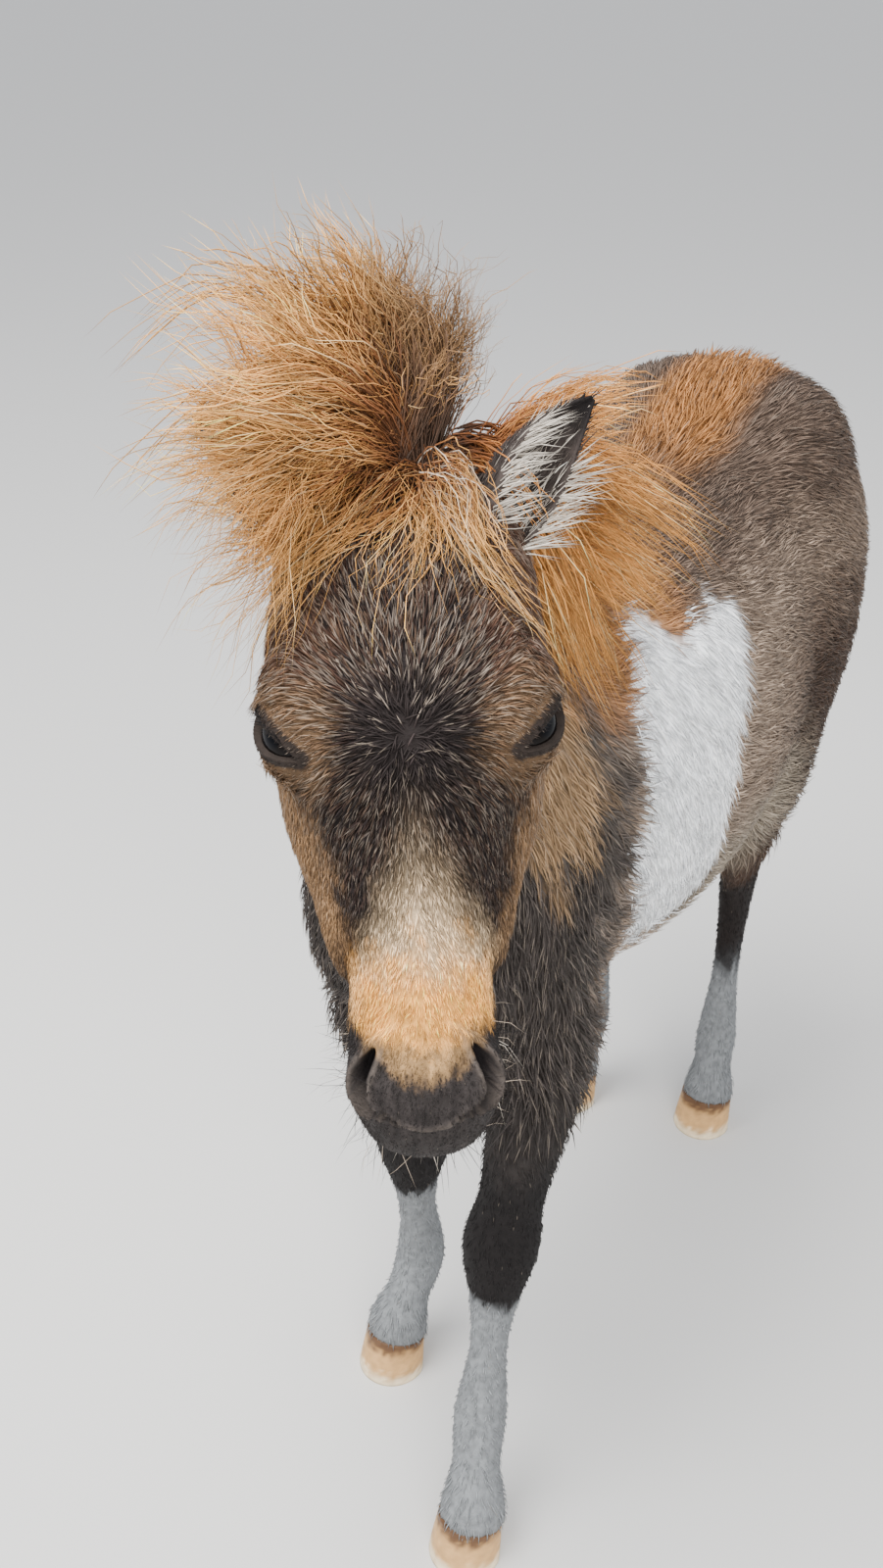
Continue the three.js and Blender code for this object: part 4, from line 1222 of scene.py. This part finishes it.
def lay(roots, length, rise, width):
    """Paths of tufts that leave the skin, bend over and lie along the coat."""
    draw, n = roots.draw, roots.count
    across = np.cross(roots.lie, roots.normals)
    sway = draw.normal(0, 0.16, n)[:, None]
    lie = unit(roots.lie + across * sway)
    start = roots.points - roots.normals * 0.8
    middle = roots.points + lie * (0.46 * length)[:, None] + roots.normals * (0.72 * rise)[:, None]
    curl = across * (draw.normal(0, 0.05, n) * length)[:, None]
    tip = roots.points + lie * length[:, None] + roots.normals * rise[:, None] + curl
    paths = np.stack([start, middle, tip], 1)
    widths = np.stack([width, 0.8 * width, 0 * width], 1)
    return paths, widths


lightest = 0.95


def tuft_colours(roots, base, root_shade, tip_shade, frost, spread=0.16):
    """Tufts darker at the root, as painted shade among the hairs, and lighter at the tip; frost is the
    share with pale tips.
    """
    draw, n = roots.draw, roots.count
    vary = np.exp(draw.normal(0, spread, n))[:, None]
    light = (draw.uniform(0, 1, n) < frost)[:, None]
    tip = np.where(light, mix(base * tip_shade, FROST, 0.6), base * tip_shade)
    tones = np.stack([base * root_shade, base, tip], 1)
    return np.clip(tones * vary[:, None], 0, lightest)


# Places of the tufts on each material's sheet
trunk_middle = 600


def turn_share(across, along):
    """The turn round a middle line, from 0 to 1."""
    return np.arctan2(across, along) / (2 * math.pi) + 0.5


def wrap_places(p, low, high):
    """Place on an unwrap of the trunk: the turn round its middle and the distance along it."""
    turn = turn_share(p[:, 0], p[:, 2] - trunk_middle)
    return np.stack([0.01 + 0.98 * turn, 0.01 + 0.98 * (p[:, 1] - low) / (high - low)], 1)


# Body and neck, in slices that stay small enough for one piece
body_slices = 4


def dress_body():
    body = Roots(body_tufts, lambda c: (1 - head_share(c)) * (1 - leg_share(c)), seed=21)
    draw = body.draw
    x, y, z = body.points.T
    belly = smooth((belly_top - z) / 60)
    top_line = smooth((z - top_line_low) / 40) * smooth((46 - np.abs(x)) / 30)
    on_white = white_patch(body.points)
    front = smooth((-y - 10) / 60)
    length = trunk_hair + belly_hair * belly + top_line_hair * top_line
    length = length * draw.uniform(0.7, 1.25, body_tufts)
    rise = mix(2.4 + 1.6 * front + 3 * belly + 4 * top_line, 1.1, on_white)
    rise = rise * draw.uniform(0.3, 1.8, body_tufts)
    paths, widths = lay(body, length, rise, draw.uniform(1.0, 2.0, body_tufts))
    base = marking(body.points + body.lie * 6)
    frost = (0.1 + 0.14 * smooth(-y / 60) + 0.08 * smooth((z - 700) / 60)) * (1 - on_white)
    root_shade = mix(0.78, 1.0, on_white)[:, None]
    tones = tuft_colours(body, base, root_shade, tip_shade=1.08, frost=frost,
                         spread=mix(0.17, 0.05, on_white))
    ends = np.quantile(y, np.linspace(0, 1, body_slices + 1))
    which = np.clip(np.searchsorted(ends, y, "right") - 1, 0, body_slices - 1)
    for i in range(body_slices):
        pick = which == i
        places = wrap_places(body.points[pick], ends[i], ends[i + 1])
        hair_piece(f"coat_body_{i + 1}", paths[pick], widths[pick], body.normals[pick],
                   tones[pick], places, fur_material)


def dress_legs():
    """Short hair below the knees, longer above them and a little feather at the heels."""
    leg = Roots(leg_tufts, leg_share, seed=22)
    draw = leg.draw
    x, y, z = leg.points.T
    upper = smooth((z - knee_top) / 120)
    length = mix(low_leg_hair, high_leg_hair, upper) * draw.uniform(0.7, 1.2, leg_tufts)
    length += heel_hair * smooth((heel_top - z) / 30)
    rise = mix(1.2, 3.4, upper) * draw.uniform(0.4, 1.4, leg_tufts)
    paths, widths = lay(leg, length, rise, draw.uniform(0.8, 1.6, leg_tufts))
    base = marking(leg.points + leg.lie * 4)
    tones = tuft_colours(leg, base, root_shade=0.75, tip_shade=1.08, frost=0.03, spread=0.1)
    which = (x > 0) * 1 + (y > leg_parting) * 2
    order = ("front_right", "front_left", "hind_right", "hind_left")
    middles = np.array([soles[name] for name in order])[which]
    turn = turn_share(x - middles[:, 0], y - middles[:, 1])
    places = np.stack([(which + 0.04 + 0.92 * turn) / len(order), 0.02 + z / 520], 1)
    hair_piece("coat_legs", paths, widths, leg.normals, tones, places, fur_material)


# Face, in an upper and a lower piece
face_parting = 142


def face_density(c):
    down, out, _ = in_head(c).T
    return head_share(c) * mix(1.0, 0.8, smooth((down - 270) / 20)) * (out > -125)


def dress_face():
    face = Roots(face_tufts, face_density, seed=23)
    draw = face.draw
    h = in_head(face.points)
    down, out, side = h.T
    muzzle = smooth((down - muzzle_bare) / 22)
    on_lid = smooth((1.0 - off_slit(face.points)) / 0.6)
    length = mix(brow_hair, cheek_hair, smooth((down - whorl_level) / 90))
    length = mix(length, muzzle_hair, muzzle) * draw.uniform(0.7, 1.25, face_tufts)
    rise = mix(2.6, 1.4, smooth((down - whorl_level) / 110))
    rise = mix(rise, 0.5, muzzle) * draw.uniform(0.4, 1.4, face_tufts)
    width = mix(1.1, 0.62, smooth((down - 200) / 80)) * draw.uniform(0.7, 1.3, face_tufts)
    length = mix(length, lid_hair, on_lid)
    rise = mix(rise, 0.55, on_lid)
    width = mix(width, 0.6, on_lid)
    paths, widths = lay(face, length, rise, width)
    frost = mix(0.26, 0.03, smooth((down - 150) / 70))
    mixed = mix(0.4, 0.2, smooth((down - whorl_level) / 40)) * smooth((235 - down) / 50)
    mixed = mixed * smooth((np.linalg.norm(h - whorl, axis=1) - 14) / 30)
    base = layered(
        marking(face.points + face.lie * 3),
        (COAT_MIX[draw.integers(0, len(COAT_MIX), face_tufts)], mixed),
        (LID, lid_share(face.points)),
    )
    tones = tuft_colours(face, base, root_shade=0.66, tip_shade=1.1, frost=frost, spread=0.2)
    turn = turn_share(side, out + 40)
    places = np.stack([0.01 + 0.98 * turn, 0.02 + 0.96 * (down + 80) / 410], 1)
    clear = (off_slit(face.points) > 0.07) & (nostril_shape(face.points)[0] > 1.5)
    upper = down < face_parting
    for name, part in (("coat_face_upper", upper), ("coat_face_lower", ~upper)):
        pick = clear & part
        hair_piece(name, paths[pick], widths[pick], face.normals[pick], tones[pick],
                   places[pick], fur_material)


def dress_ear(name, s, shape):
    """Short dark fur behind the ear, long pale hair in the cup and a cream fringe on its edge."""
    ear = Roots(ear_tufts, lambda c: 1.0, seed=27 + s, shape=(*shape, vertex_normals(*shape)))
    draw = ear.draw
    base, axis, opening, broad = ear_axes(s)
    height = (ear.points - base) @ axis
    hollow = 4 * np.sin(math.pi * np.clip(height / ear_length, 0, 1))
    from_middle = ear.points - (base + axis * height[:, None] - opening * hollow[:, None])
    inside = (from_middle * ear.normals).sum(1) < 0
    across, behind = from_middle @ broad, -from_middle @ opening
    heights, _, spreads = np.array(ear_stations).T
    spread = np.interp(height, heights, spreads)
    edge = (np.abs(np.arctan2(across, behind)) > spread - 0.35) & (height < 70)
    inner = unit(axis * 0.85 + opening * 0.3 + broad * draw.normal(0, 0.2, (ear_tufts, 1)))
    outer = unit(axis + opening * 0.1 + broad * draw.normal(0, 0.15, (ear_tufts, 1)))
    outer = unit(outer - ear.normals * (outer * ear.normals).sum(1, keepdims=True))
    stray = draw.normal(0, 0.22, (ear_tufts, 3))
    fringe = unit(s * head_side * 0.9 + head_out * 0.2 + axis * 0.35 + stray)
    ear.lie = np.where(edge[:, None], fringe, np.where(inside[:, None], inner, outer))
    cup_length = draw.uniform(12, 26, ear_tufts)
    length = np.where(inside, cup_length, draw.uniform(6, 11, ear_tufts))
    length = np.where(edge, draw.uniform(14, 32, ear_tufts), length)
    length *= mix(1.0, 0.5, smooth((height - 60) / 40))
    rise = np.where(inside, 1.5, 1.6) * draw.uniform(0.4, 1.3, ear_tufts)
    width = np.where(inside, 0.8, 1.1) * draw.uniform(0.7, 1.3, ear_tufts)
    paths, widths = lay(ear, length, rise, width)
    pale = draw.uniform(0, 1, ear_tufts) < mix(0.5, 0.28, smooth((height - 20) / 60))
    tone = layered(
        np.where((pale & (inside | edge))[:, None], CREAM, EAR),
        (CREAM, 0.8 * edge),
        (BLACK, over(height, 84, 16) * (draw.uniform(0, 1, ear_tufts) < 0.8)),
    )
    tones = tuft_colours(ear, tone, root_shade=0.8, tip_shade=1.1, frost=0.04)
    along = np.clip((height + 36) / 142, 0, 1)
    places = np.stack([0.01 + 0.98 * turn_share(across, behind), 0.02 + 0.96 * along], 1)
    pick = height > 2
    hair_piece("coat_ear_" + name, paths[pick], widths[pick], ear.normals[pick], tones[pick],
               places[pick], fur_material)


# Lashes on the upper lids; whiskers on the muzzle and pale hairs under the chin
def lashes(s, count, draw):
    centre, look, inner, up = eye_axes(s)
    turn = draw.uniform(-0.85, 0.6, count)
    lift = slit_above * (1 - (turn / slit_corner)**2) + 0.06
    level = look * np.cos(turn)[:, None] + inner * np.sin(turn)[:, None]
    radial = level * np.cos(lift)[:, None] + up * np.sin(lift)[:, None]
    start = centre + radial * (eye_radius + 1.6)
    way = unit(radial + up * 0.25 - inner * 0.5 + draw.normal(0, 0.15, (count, 3)))
    size = draw.uniform(6, 11, count)[:, None]
    middle = start + way * size * 0.5
    return np.stack([start, middle, middle + (way * 0.9 - up * 0.45) * size * 0.5], 1)


# Whiskers stay inside the size that the solids allow to the pony's left
whisker_reach = 188
whisker_press = 0.85


def whisker_paths(roots, length, spread, fall):
    draw = roots.draw
    way = unit(roots.normals + draw.normal(0, spread, roots.points.shape) + fall)
    middle = roots.points + way * length[:, None] * 0.5
    tip = middle + unit(way + fall * 0.8 + draw.normal(0, 0.2, way.shape)) * length[:, None] * 0.5
    paths = np.stack([roots.points - roots.normals, middle, tip], 1)
    paths[:, :, 0] -= whisker_press * np.maximum(paths[:, :, 0] - whisker_reach, 0)
    return paths


def whisker_density(c):
    down, out, side = in_head(c).T
    lips = smooth((down - 262) / 14) * smooth((-22 - out) / 14)
    flanks = 0.35 * smooth((down - 250) / 20) * smooth((np.abs(side) - 24) / 8)
    return head_share(c) * (lips + flanks)


def chin_density(c):
    down, out, _ = in_head(c).T
    return head_share(c) * smooth((down - 235) / 30) * smooth((-56 - out) / 8)


def fine_hairs(name, paths, width, tone, draw):
    count = len(paths)
    ups = unit(np.cross(paths[:, -1] - paths[:, 0], vec(0.3, 0.5, 0.2)) + 1e-6)
    widths = np.array([1, 0.8, 0])[None] * width * draw.uniform(0.7, 1.3, (count, 1))
    vary = draw.uniform(0.7, 1.2, (count, 1, 1))
    tones = np.broadcast_to(tone[..., None, :] * vary, (count, 3, 3))
    down, _, side = in_head(paths[:, 0]).T
    along = np.clip((down + 20) / 350, 0, 1)
    places = np.stack([0.5 + side / 180, 0.02 + 0.96 * along], 1)
    hair_piece(name, paths, widths, ups, tones, places, fur_material)


def dress_muzzle():
    draw = np.random.default_rng(51)
    lash_paths = np.concatenate([lashes(s, lash_hairs, draw) for s in (-1, 1)])
    fine_hairs("lashes", lash_paths, width=0.42, tone=BLACK, draw=draw)
    whiskers = Roots(whisker_hairs, whisker_density, seed=52)
    length = whiskers.draw.uniform(10, 30, whisker_hairs)
    paths = whisker_paths(whiskers, length, spread=0.35, fall=vec(0, 0, -0.3))
    tone = np.where(draw.uniform(0, 1, (whisker_hairs, 1)) < 0.85, BLACK, FROST)
    fine_hairs("whiskers", paths, width=0.3, tone=tone, draw=draw)
    chin = Roots(chin_hairs, chin_density, seed=53)
    length = chin.draw.uniform(10, 36, chin_hairs)
    paths = whisker_paths(chin, length, spread=0.3, fall=vec(0, -0.1, -0.9))
    tone = np.where(draw.uniform(0, 1, (chin_hairs, 1)) < 0.5, CREAM, CHEST)
    fine_hairs("chin_hairs", paths, width=0.5, tone=tone, draw=draw)


dress_body()
dress_legs()
dress_face()
for name, s, shape in (("right", -1, ear_shapes[0]), ("left", 1, ear_shapes[1])):
    dress_ear(name, s, shape)
dress_muzzle()

# Long hair: guides that follow the solids' locks, with frizzy strands round each
slope_step = 1.0


def above(points, lift):
    """Moves points out of the body until they lie at least so far above the coat."""
    flat = points.reshape(-1, 3)
    lift = np.broadcast_to(lift, points.shape[:-1]).reshape(-1)
    for _ in range(2):
        here = body_field(flat)
        short = lift - here
        deep = short > 0
        if not deep.any():
            break
        slope = slopes(body_field, flat[deep], here[deep], slope_step)
        size = np.maximum((slope * slope).sum(1), 0.2)
        flat[deep] += slope * (short[deep] / size)[:, None]
    return flat.reshape(points.shape)


def strands(guides, count, k, spread, frizz, draw):
    """Strands of k points scattered round guides, waved with their clump, curling to the tips."""
    g, guide_k = guides.shape[:2]
    pick = draw.integers(0, g, count)
    t = np.linspace(0, 1, k)
    scatter = draw.normal(0, 1, (count, 1, 3)) * (spread[0] + (spread[1] - spread[0]) * t)[None, :, None]
    reach = draw.uniform(0.55, 1.08, count)
    along = reach[:, None] * t[None] * (guide_k - 1)
    low = np.minimum(along.astype(int), guide_k - 2)
    w = (along - low)[:, :, None]
    rows = pick[:, None]
    paths = guides[rows, low] * (1 - w) + guides[rows, low + 1] * w
    phase = draw.uniform(0, 2 * math.pi, (g, 1, 3))[pick] + draw.normal(0, 0.7, (count, 1, 3))
    crimp_phase = draw.uniform(0, 2 * math.pi, (g, 1, 3))[pick] + draw.normal(0, 0.8, (count, 1, 3))
    t = t[None, :, None]
    curls = np.sin(phase + t * draw.uniform(2, 6, (count, 1, 3))) * frizz * t
    crimp = np.sin(crimp_phase + t * draw.uniform(11, 19, (count, 1, 3))) * 0.36 * frizz * np.sqrt(t)
    return paths + scatter + curls + crimp, pick


def ups_of(paths):
    return unit(np.cross(paths[:, -1] - paths[:, 0], vec(0.3, 0.2, 1)) + vec(0, -0.4, 0.6))


# Steps along each guide
steps = np.linspace(0, 1, 12)

# Forelock: rows are (angle from straight up towards the right in degrees, reach); the locks past
# the fan hang over the forehead
forelock_fan = [
    (-46, 50), (-22, 62), (0, 84), (30, 106), (53, 140), (79, 134), (104, 130), (124, 130),
    (138, 124),
]
face_locks = [(179, 92), (206, 96), (211, 114)]
fan_end = 150
fan_guides_per_face_guide = 12
forelock_rise = -36 * head_down + 12 * head_out + 9 * head_side


def forelock_guides(count, draw):
    angles, reaches = np.array(forelock_fan, float).T
    turn = mix(angles[0], angles[-1], draw.uniform(0, 1, count)**0.8)
    reach = np.interp(turn, angles, reaches) * draw.uniform(0.55, 1.0, count)
    picks = draw.integers(0, len(face_locks), count // fan_guides_per_face_guide)
    chosen = np.array(face_locks)[picks]
    turn = np.concatenate([turn, chosen[:, 0] + draw.normal(0, 1.4, len(chosen))])
    reach = np.concatenate([reach, chosen[:, 1] * draw.uniform(0.6, 1.0, len(chosen))])
    n = len(turn)
    in_fan = turn < fan_end
    angle = np.radians(turn)
    tier = draw.uniform(0, 2, n) * np.where(in_fan, 1, 0.3)
    tilt = (0.04 + 0.26 * tier)[:, None]
    aim = -head_down * np.cos(angle)[:, None] - head_side * np.sin(angle)[:, None]
    aim = aim * np.cos(tilt) + head_out * np.sin(tilt)
    loose = np.where(in_fan, 1, 0.4)
    root_down = 4 + loose * draw.uniform(-12, 10, n) - 8 * np.cos(angle)
    root_side = 2 + loose * draw.uniform(-20, 12, n) - 8 * np.sin(angle)
    root = np.stack([root_down, np.full(n, -2.0), root_side], 1) @ head_axes + poll
    sag = draw.uniform(0.1, 0.36, n) * reach * np.clip(turn / 70, 0.3, 1.5)
    curl = draw.uniform(-0.2, 0.2, (2, n)) * reach
    wave = draw.uniform(0.03, 0.075, n) * reach
    wave_phase = draw.uniform(0, 2 * math.pi, n)
    wave_turns = draw.uniform(1.1, 2.3, n)
    t = steps[None, :, None]
    straight = aim[:, None] * reach[:, None, None] * t
    paths = root[:, None] + straight + forelock_rise * (1 - (1 - t)**6)
    paths = paths + head_down * curl[0][:, None, None] * np.sin(math.pi * t)
    paths = paths + head_side * curl[1][:, None, None] * 0.6 * np.sin(1.6 * math.pi * t)
    phase = wave_phase[:, None] + 2 * math.pi * wave_turns[:, None] * steps[None]
    waving = np.sin(phase) * wave[:, None] * steps[None]
    across = unit(np.cross(aim, head_out))
    paths = paths + across[:, None] * waving[:, :, None]
    paths = paths + vec(0, 0, -1) * sag[:, None, None] * t * t
    lift = 3 + 7 * tier[:, None] - 8 * (1 - steps[None])
    return above(paths, lift)


# Share of each strand, from the root, that runs from the painted shade to the hair's own colour
dark_part = 0.4


def hair_tones(k, shades, vary):
    """Colours along strands: dark at the root as painted shade deep in the hair, the body of the hair,
    its bleached tip.
    """
    root, middle, tip = (np.asarray(shade)[..., None, :] for shade in shades)
    t = np.linspace(0, 1, k)[None, :, None]
    rooted = mix(root, middle, t / dark_part)
    bleached = mix(middle, tip, (t - dark_part) / (1 - dark_part))
    tones = np.where(t < dark_part, rooted, bleached)
    return np.clip(tones * vary[:, None, None], 0, lightest)


def scalp_places(roots):
    low, high = roots.min(0)[:2], roots.max(0)[:2]
    return 0.01 + 0.98 * np.clip((roots[:, :2] - low) / (high - low), 0, 1)


def long_hair(name, guides, count, k, spread, frizz, width, shades, draw, replaced=()):
    """count strands of k points; spread is how far they scatter at the root and at the tip.

    shades gives the root, middle and tip colours of strands from their ends and a random draw."""
    paths, pick = strands(guides, count, k, spread, frizz, draw)
    taper = np.sqrt(np.clip(1.05 - np.linspace(0, 1, k), 0, 1))
    taper[-1] = 0
    widths = draw.uniform(0.7, 1.3, count)[:, None] * width * taper[None]
    clump = np.exp(draw.normal(0, 0.26, len(guides)))[pick]
    tones = hair_tones(k, shades(paths[:, -1], draw), clump * np.exp(draw.normal(0, 0.15, count)))
    hair_piece(name, paths, widths, ups_of(paths), tones, scalp_places(paths[:, 0]),
               long_hair_material, replaced)


def forelock_shades(tips, draw):
    """Orange tips; brown above the poll; silver beside the ear."""
    n = len(tips)
    down, _, side = in_head(tips).T
    brown = smooth((side + 40) / 50) * smooth((-20 - down) / 40)
    silver = smooth((side - 16) / 26) * smooth((down - 10) / 30) * (draw.uniform(0, 1, n) < 0.3)
    straw = draw.uniform(0, 1, n) < 0.14
    root = towards(SHADED_ROOT, FROST, 0.4 * silver)
    middle = layered(ORANGE, (GREY_HAIR, 0.85 * brown), (FROST, 0.8 * silver))
    tip = layered(GOLD, (GREY_HAIR, 0.7 * brown), (GOLD, 0.3 * silver),
                  (STRAW, 0.9 * straw * (1 - brown)))
    return root, middle, tip


draw = np.random.default_rng(31)
locks = forelock_guides(170, draw)
long_hair("hair_forelock", locks, count=3000, k=10, spread=(2.2, 4.6), frizz=4.6, width=1.0,
          shades=forelock_shades, draw=draw, replaced=["forelock"])
long_hair("hair_forelock_top", locks, count=2200, k=10, spread=(3, 8), frizz=6.0, width=0.7,
          shades=forelock_shades, draw=draw)

# Mane: from the crest over the left side of the neck, in three tiers, from the lowest: the share
# of guides, where on the crest it starts, how far it goes sideways, back, up and down, and length
crest = [
    vec(44, -208, 900), vec(38, -160, 868), vec(28, -110, 838), vec(14, -60, 806),
    vec(4, -14, 786),
]
mane_tiers = [
    (0.3, 0.05, 0.5, 0.25, 0.12, 0.85, 1, 3),
    (0.4, 0.26, 0.72, 0.5, 0.5, 0.68, 1.05, 12),
    (0.3, 0.26, 0.5, 0.62, 0.85, 0.5, 0.95, 10),
]


def mane_guides(count, draw):
    shares = [row[0] for row in mane_tiers]
    tier = draw.choice(len(mane_tiers), count, p=shares)
    _, first, sideways, back, climb, fall, long, lift = np.array(mane_tiers)[tier].T
    start = mix(first, 1, draw.uniform(0, 1, count))
    root = above(curve(crest, start), -4)
    back = back * draw.uniform(0.7, 1.3, count)
    length = long * mane_length
    length = length * draw.uniform(0.8, 1.12, count) * (1 - 0.25 * start**2)
    t = steps[None]
    paths = root[:, None] + np.stack([
        (sideways * length)[:, None] * t**1.25,
        (back * length)[:, None] * t**0.85,
        ((climb * length)[:, None] - (fall * length)[:, None] * t) * t,
    ], -1)
    return above(paths, lift[:, None] - 10 * (1 - t))


def mane_shades(tips, draw):
    straw = draw.uniform(0, 1, len(tips)) < 0.12
    return SHADED_ROOT[None], MANE[None], towards(MANE_TIP, STRAW, 0.8 * straw)


long_hair("hair_mane", mane_guides(130, draw), count=4000, k=8, spread=(3.5, 8), frizz=6.0,
          width=1.1, shades=mane_shades, draw=draw, replaced=["mane"])

# Tail: full hair that falls round the dock
dock = [vec(0, 500, 752), vec(0, 530, 716), vec(0, 545, 650), vec(0, 548, 580)]
tail_bulge = 32


def tail_guides(count, draw):
    root = curve(dock, (np.arange(count) + 0.5) / count)
    around = draw.uniform(0, 2 * math.pi, count)
    radial = np.stack([np.sin(around), 0.75 * np.cos(around), 0 * around], 1)
    drop = (root[:, 2] - tail_tip - draw.uniform(0, 60, count)) * draw.uniform(0.72, 1, count)
    sway = draw.uniform(-12, 12, count)
    t = steps[None]
    narrow = math.sin(0.15 * math.pi)
    bulge = tail_bulge * (np.sin(math.pi * (0.15 + 0.7 * t)) - narrow * (1 - t))
    paths = root[:, None] + radial[:, None] * bulge[:, :, None]
    fall = np.stack([sway[:, None] * t * t, 10 * t * (1 - t) + 0 * sway[:, None], -drop[:, None] * t], -1)
    return paths + fall


def tail_shades(tips, draw):
    return SHADED_ROOT[None], TAIL[None], TAIL_TIP[None]


long_hair("hair_tail", tail_guides(70, draw), count=2000, k=7, spread=(3, 7), frizz=4.0,
          width=1.4, shades=tail_shades, draw=draw, replaced=["tail"])


# Eyes: a dark ball with a wide pupil
eye_material, eye_nodes, eye_links, eye_shader = principled("eye", roughness=0.04, specular=0.1)
eye_links.new(painted(eye_nodes), eye_shader.inputs["Base Color"])
pupil_half_length = 7.5
pupil_half_height = 4.2
iris_radius = 11


def eye_piece(name, s, rows=32, columns=48):
    centre, look, inner, rise = eye_axes(s)
    around = np.linspace(0, 2 * math.pi, columns, endpoint=False)[:, None]
    rings = []
    for lift in np.linspace(0.001, math.pi - 0.001, rows):
        radius = eye_radius * math.sin(lift)
        ring = inner * radius * np.cos(around) + rise * radius * np.sin(around)
        rings.append(centre + look * (eye_radius * math.cos(lift)) + ring)
    points, faces = loft(rings)
    mesh = new_mesh("ball_" + name, points, faces)
    along, across = (points - centre) @ inner, (points - centre) @ rise
    pupil = np.hypot(along / pupil_half_length, across / pupil_half_height)
    paint(mesh, layered(
        EYE_RIM,
        (IRIS, under(np.hypot(along, across), iris_radius, 1.5)),
        (PUPIL, under(pupil, 1, 0.25)),
    ))
    new_piece("ball_" + name, mesh, eye_material, [name])


eye_piece("eye_left", 1)
eye_piece("eye_right", -1)


# Hooves: a rounded toe, a sloping front wall with growth rings, a flat sole on the floor
hoof_narrowing = 0.115
growth_rings = 34
growth_depth = 0.006


def hoof_ring(t, count=48):
    """A ring of the wall, from the sole at 0 up to the coronet at 1."""
    angle = np.linspace(0, 2 * math.pi, count, endpoint=False)
    across, along = np.sin(angle), -np.cos(angle)
    growth = growth_depth * math.sin(t * growth_rings) * (t > 0.05)
    half = hoof_width / 2 * ((1 - hoof_narrowing * t) * 0.985 + growth)
    x = half * across * (1 - 0.12 * np.maximum(along, 0))
    y = half * along * np.where(along > 0, hoof_heel_share, hoof_toe_share) + 8 * t
    return np.stack([x, y, t * (coronet_height - coronet_slope * y)], 1)


def hoof_piece(name, steps=22):
    points, faces = loft([soles[name] + hoof_ring(t) for t in np.linspace(0, 1, steps)])
    mesh = new_mesh("wall_" + name, points, faces)
    level = points[:, 2] / coronet_height
    streak = 0.12 * waves(points * vec(1, 1, 0.12), 7, 41)
    horn = layered(
        HORN,
        (HORN_TOP, over(level + streak, 0.86, 0.3)),
        (HORN_LOW, under(level - streak, 0.22, 0.3)),
    )
    paint(mesh, horn * (1 + streak[:, None]))
    new_piece("wall_" + name, mesh, horn_material, ["hoof_" + name])


horn_material = coat_material("horn", roughness=0.42, variation=0.12, scale=90, bump=(0.25, 260))
for name in soles:
    hoof_piece(name)


# Camera, floor and lights
def make_camera():
    right = vec(math.cos(camera_yaw), math.sin(camera_yaw), 0)
    level = vec(-math.sin(camera_yaw), math.cos(camera_yaw), 0)
    ahead = level * math.cos(camera_pitch) - vec(0, 0, 1) * math.sin(camera_pitch)
    low = -level * math.sin(camera_pitch) - vec(0, 0, 1) * math.cos(camera_pitch)
    c, s = math.cos(camera_roll), math.sin(camera_roll)
    image_right = right * c - low * s
    image_up = -(right * s + low * c)
    data = bpy.data.cameras.new("camera")
    data.lens = camera_lens
    data.sensor_width = camera_sensor
    camera = bpy.data.objects.new("camera", data)
    bpy.context.collection.objects.link(camera)
    place = camera_place * MM + stance_shift
    turn = Matrix(np.stack([image_right, image_up, -ahead], 1).tolist()).to_4x4()
    camera.matrix_world = Matrix.Translation(place.tolist()) @ turn
    bpy.context.scene.camera = camera


make_camera()


light_target = Vector((0, 0, 0.5))


def soft_light(name, place, size, power, tint):
    data = bpy.data.lights.new(name, "AREA")
    data.shape = "DISK"
    data.size = size
    data.energy = power
    data.color = tint
    light = bpy.data.objects.new(name, data)
    bpy.context.collection.objects.link(light)
    light.location = place
    aim = light_target - Vector(place)
    light.rotation_mode = "QUATERNION"
    light.rotation_quaternion = aim.to_track_quat("-Z", "Y")


# Places and sizes of the lights are in metres, their power in watts
soft_light("sky", place=(-0.5, -0.9, 3.0), size=2.2, power=188, tint=(1.0, 0.99, 0.97))
soft_light("front", place=(1.5, -2.1, 1.9), size=1.8, power=72, tint=(1.0, 0.98, 0.95))

world = bpy.data.worlds.new("studio")
bpy.context.scene.world = world
world.use_nodes = True
sky = world.node_tree.nodes["Background"]
sky.inputs["Color"].default_value = (0.93, 0.95, 1.0, 1)
sky.inputs["Strength"].default_value = 1.2

floor_size = 80000
floor_points = np.array([(-1, -1, 0), (1, -1, 0), (1, 1, 0), (-1, 1, 0)], float) * floor_size / 2
floor_mesh = new_mesh("floor", floor_points, np.array([(0, 1, 2), (0, 2, 3)]), False)
floor = bpy.data.objects.new("floor", floor_mesh)
bpy.context.collection.objects.link(floor)
floor_material, _, _, floor_shader = principled("floor", roughness=0.9, specular=0.2)
floor_shader.inputs["Base Color"].default_value = (0.62, 0.615, 0.6, 1)
floor_mesh.materials.append(floor_material)
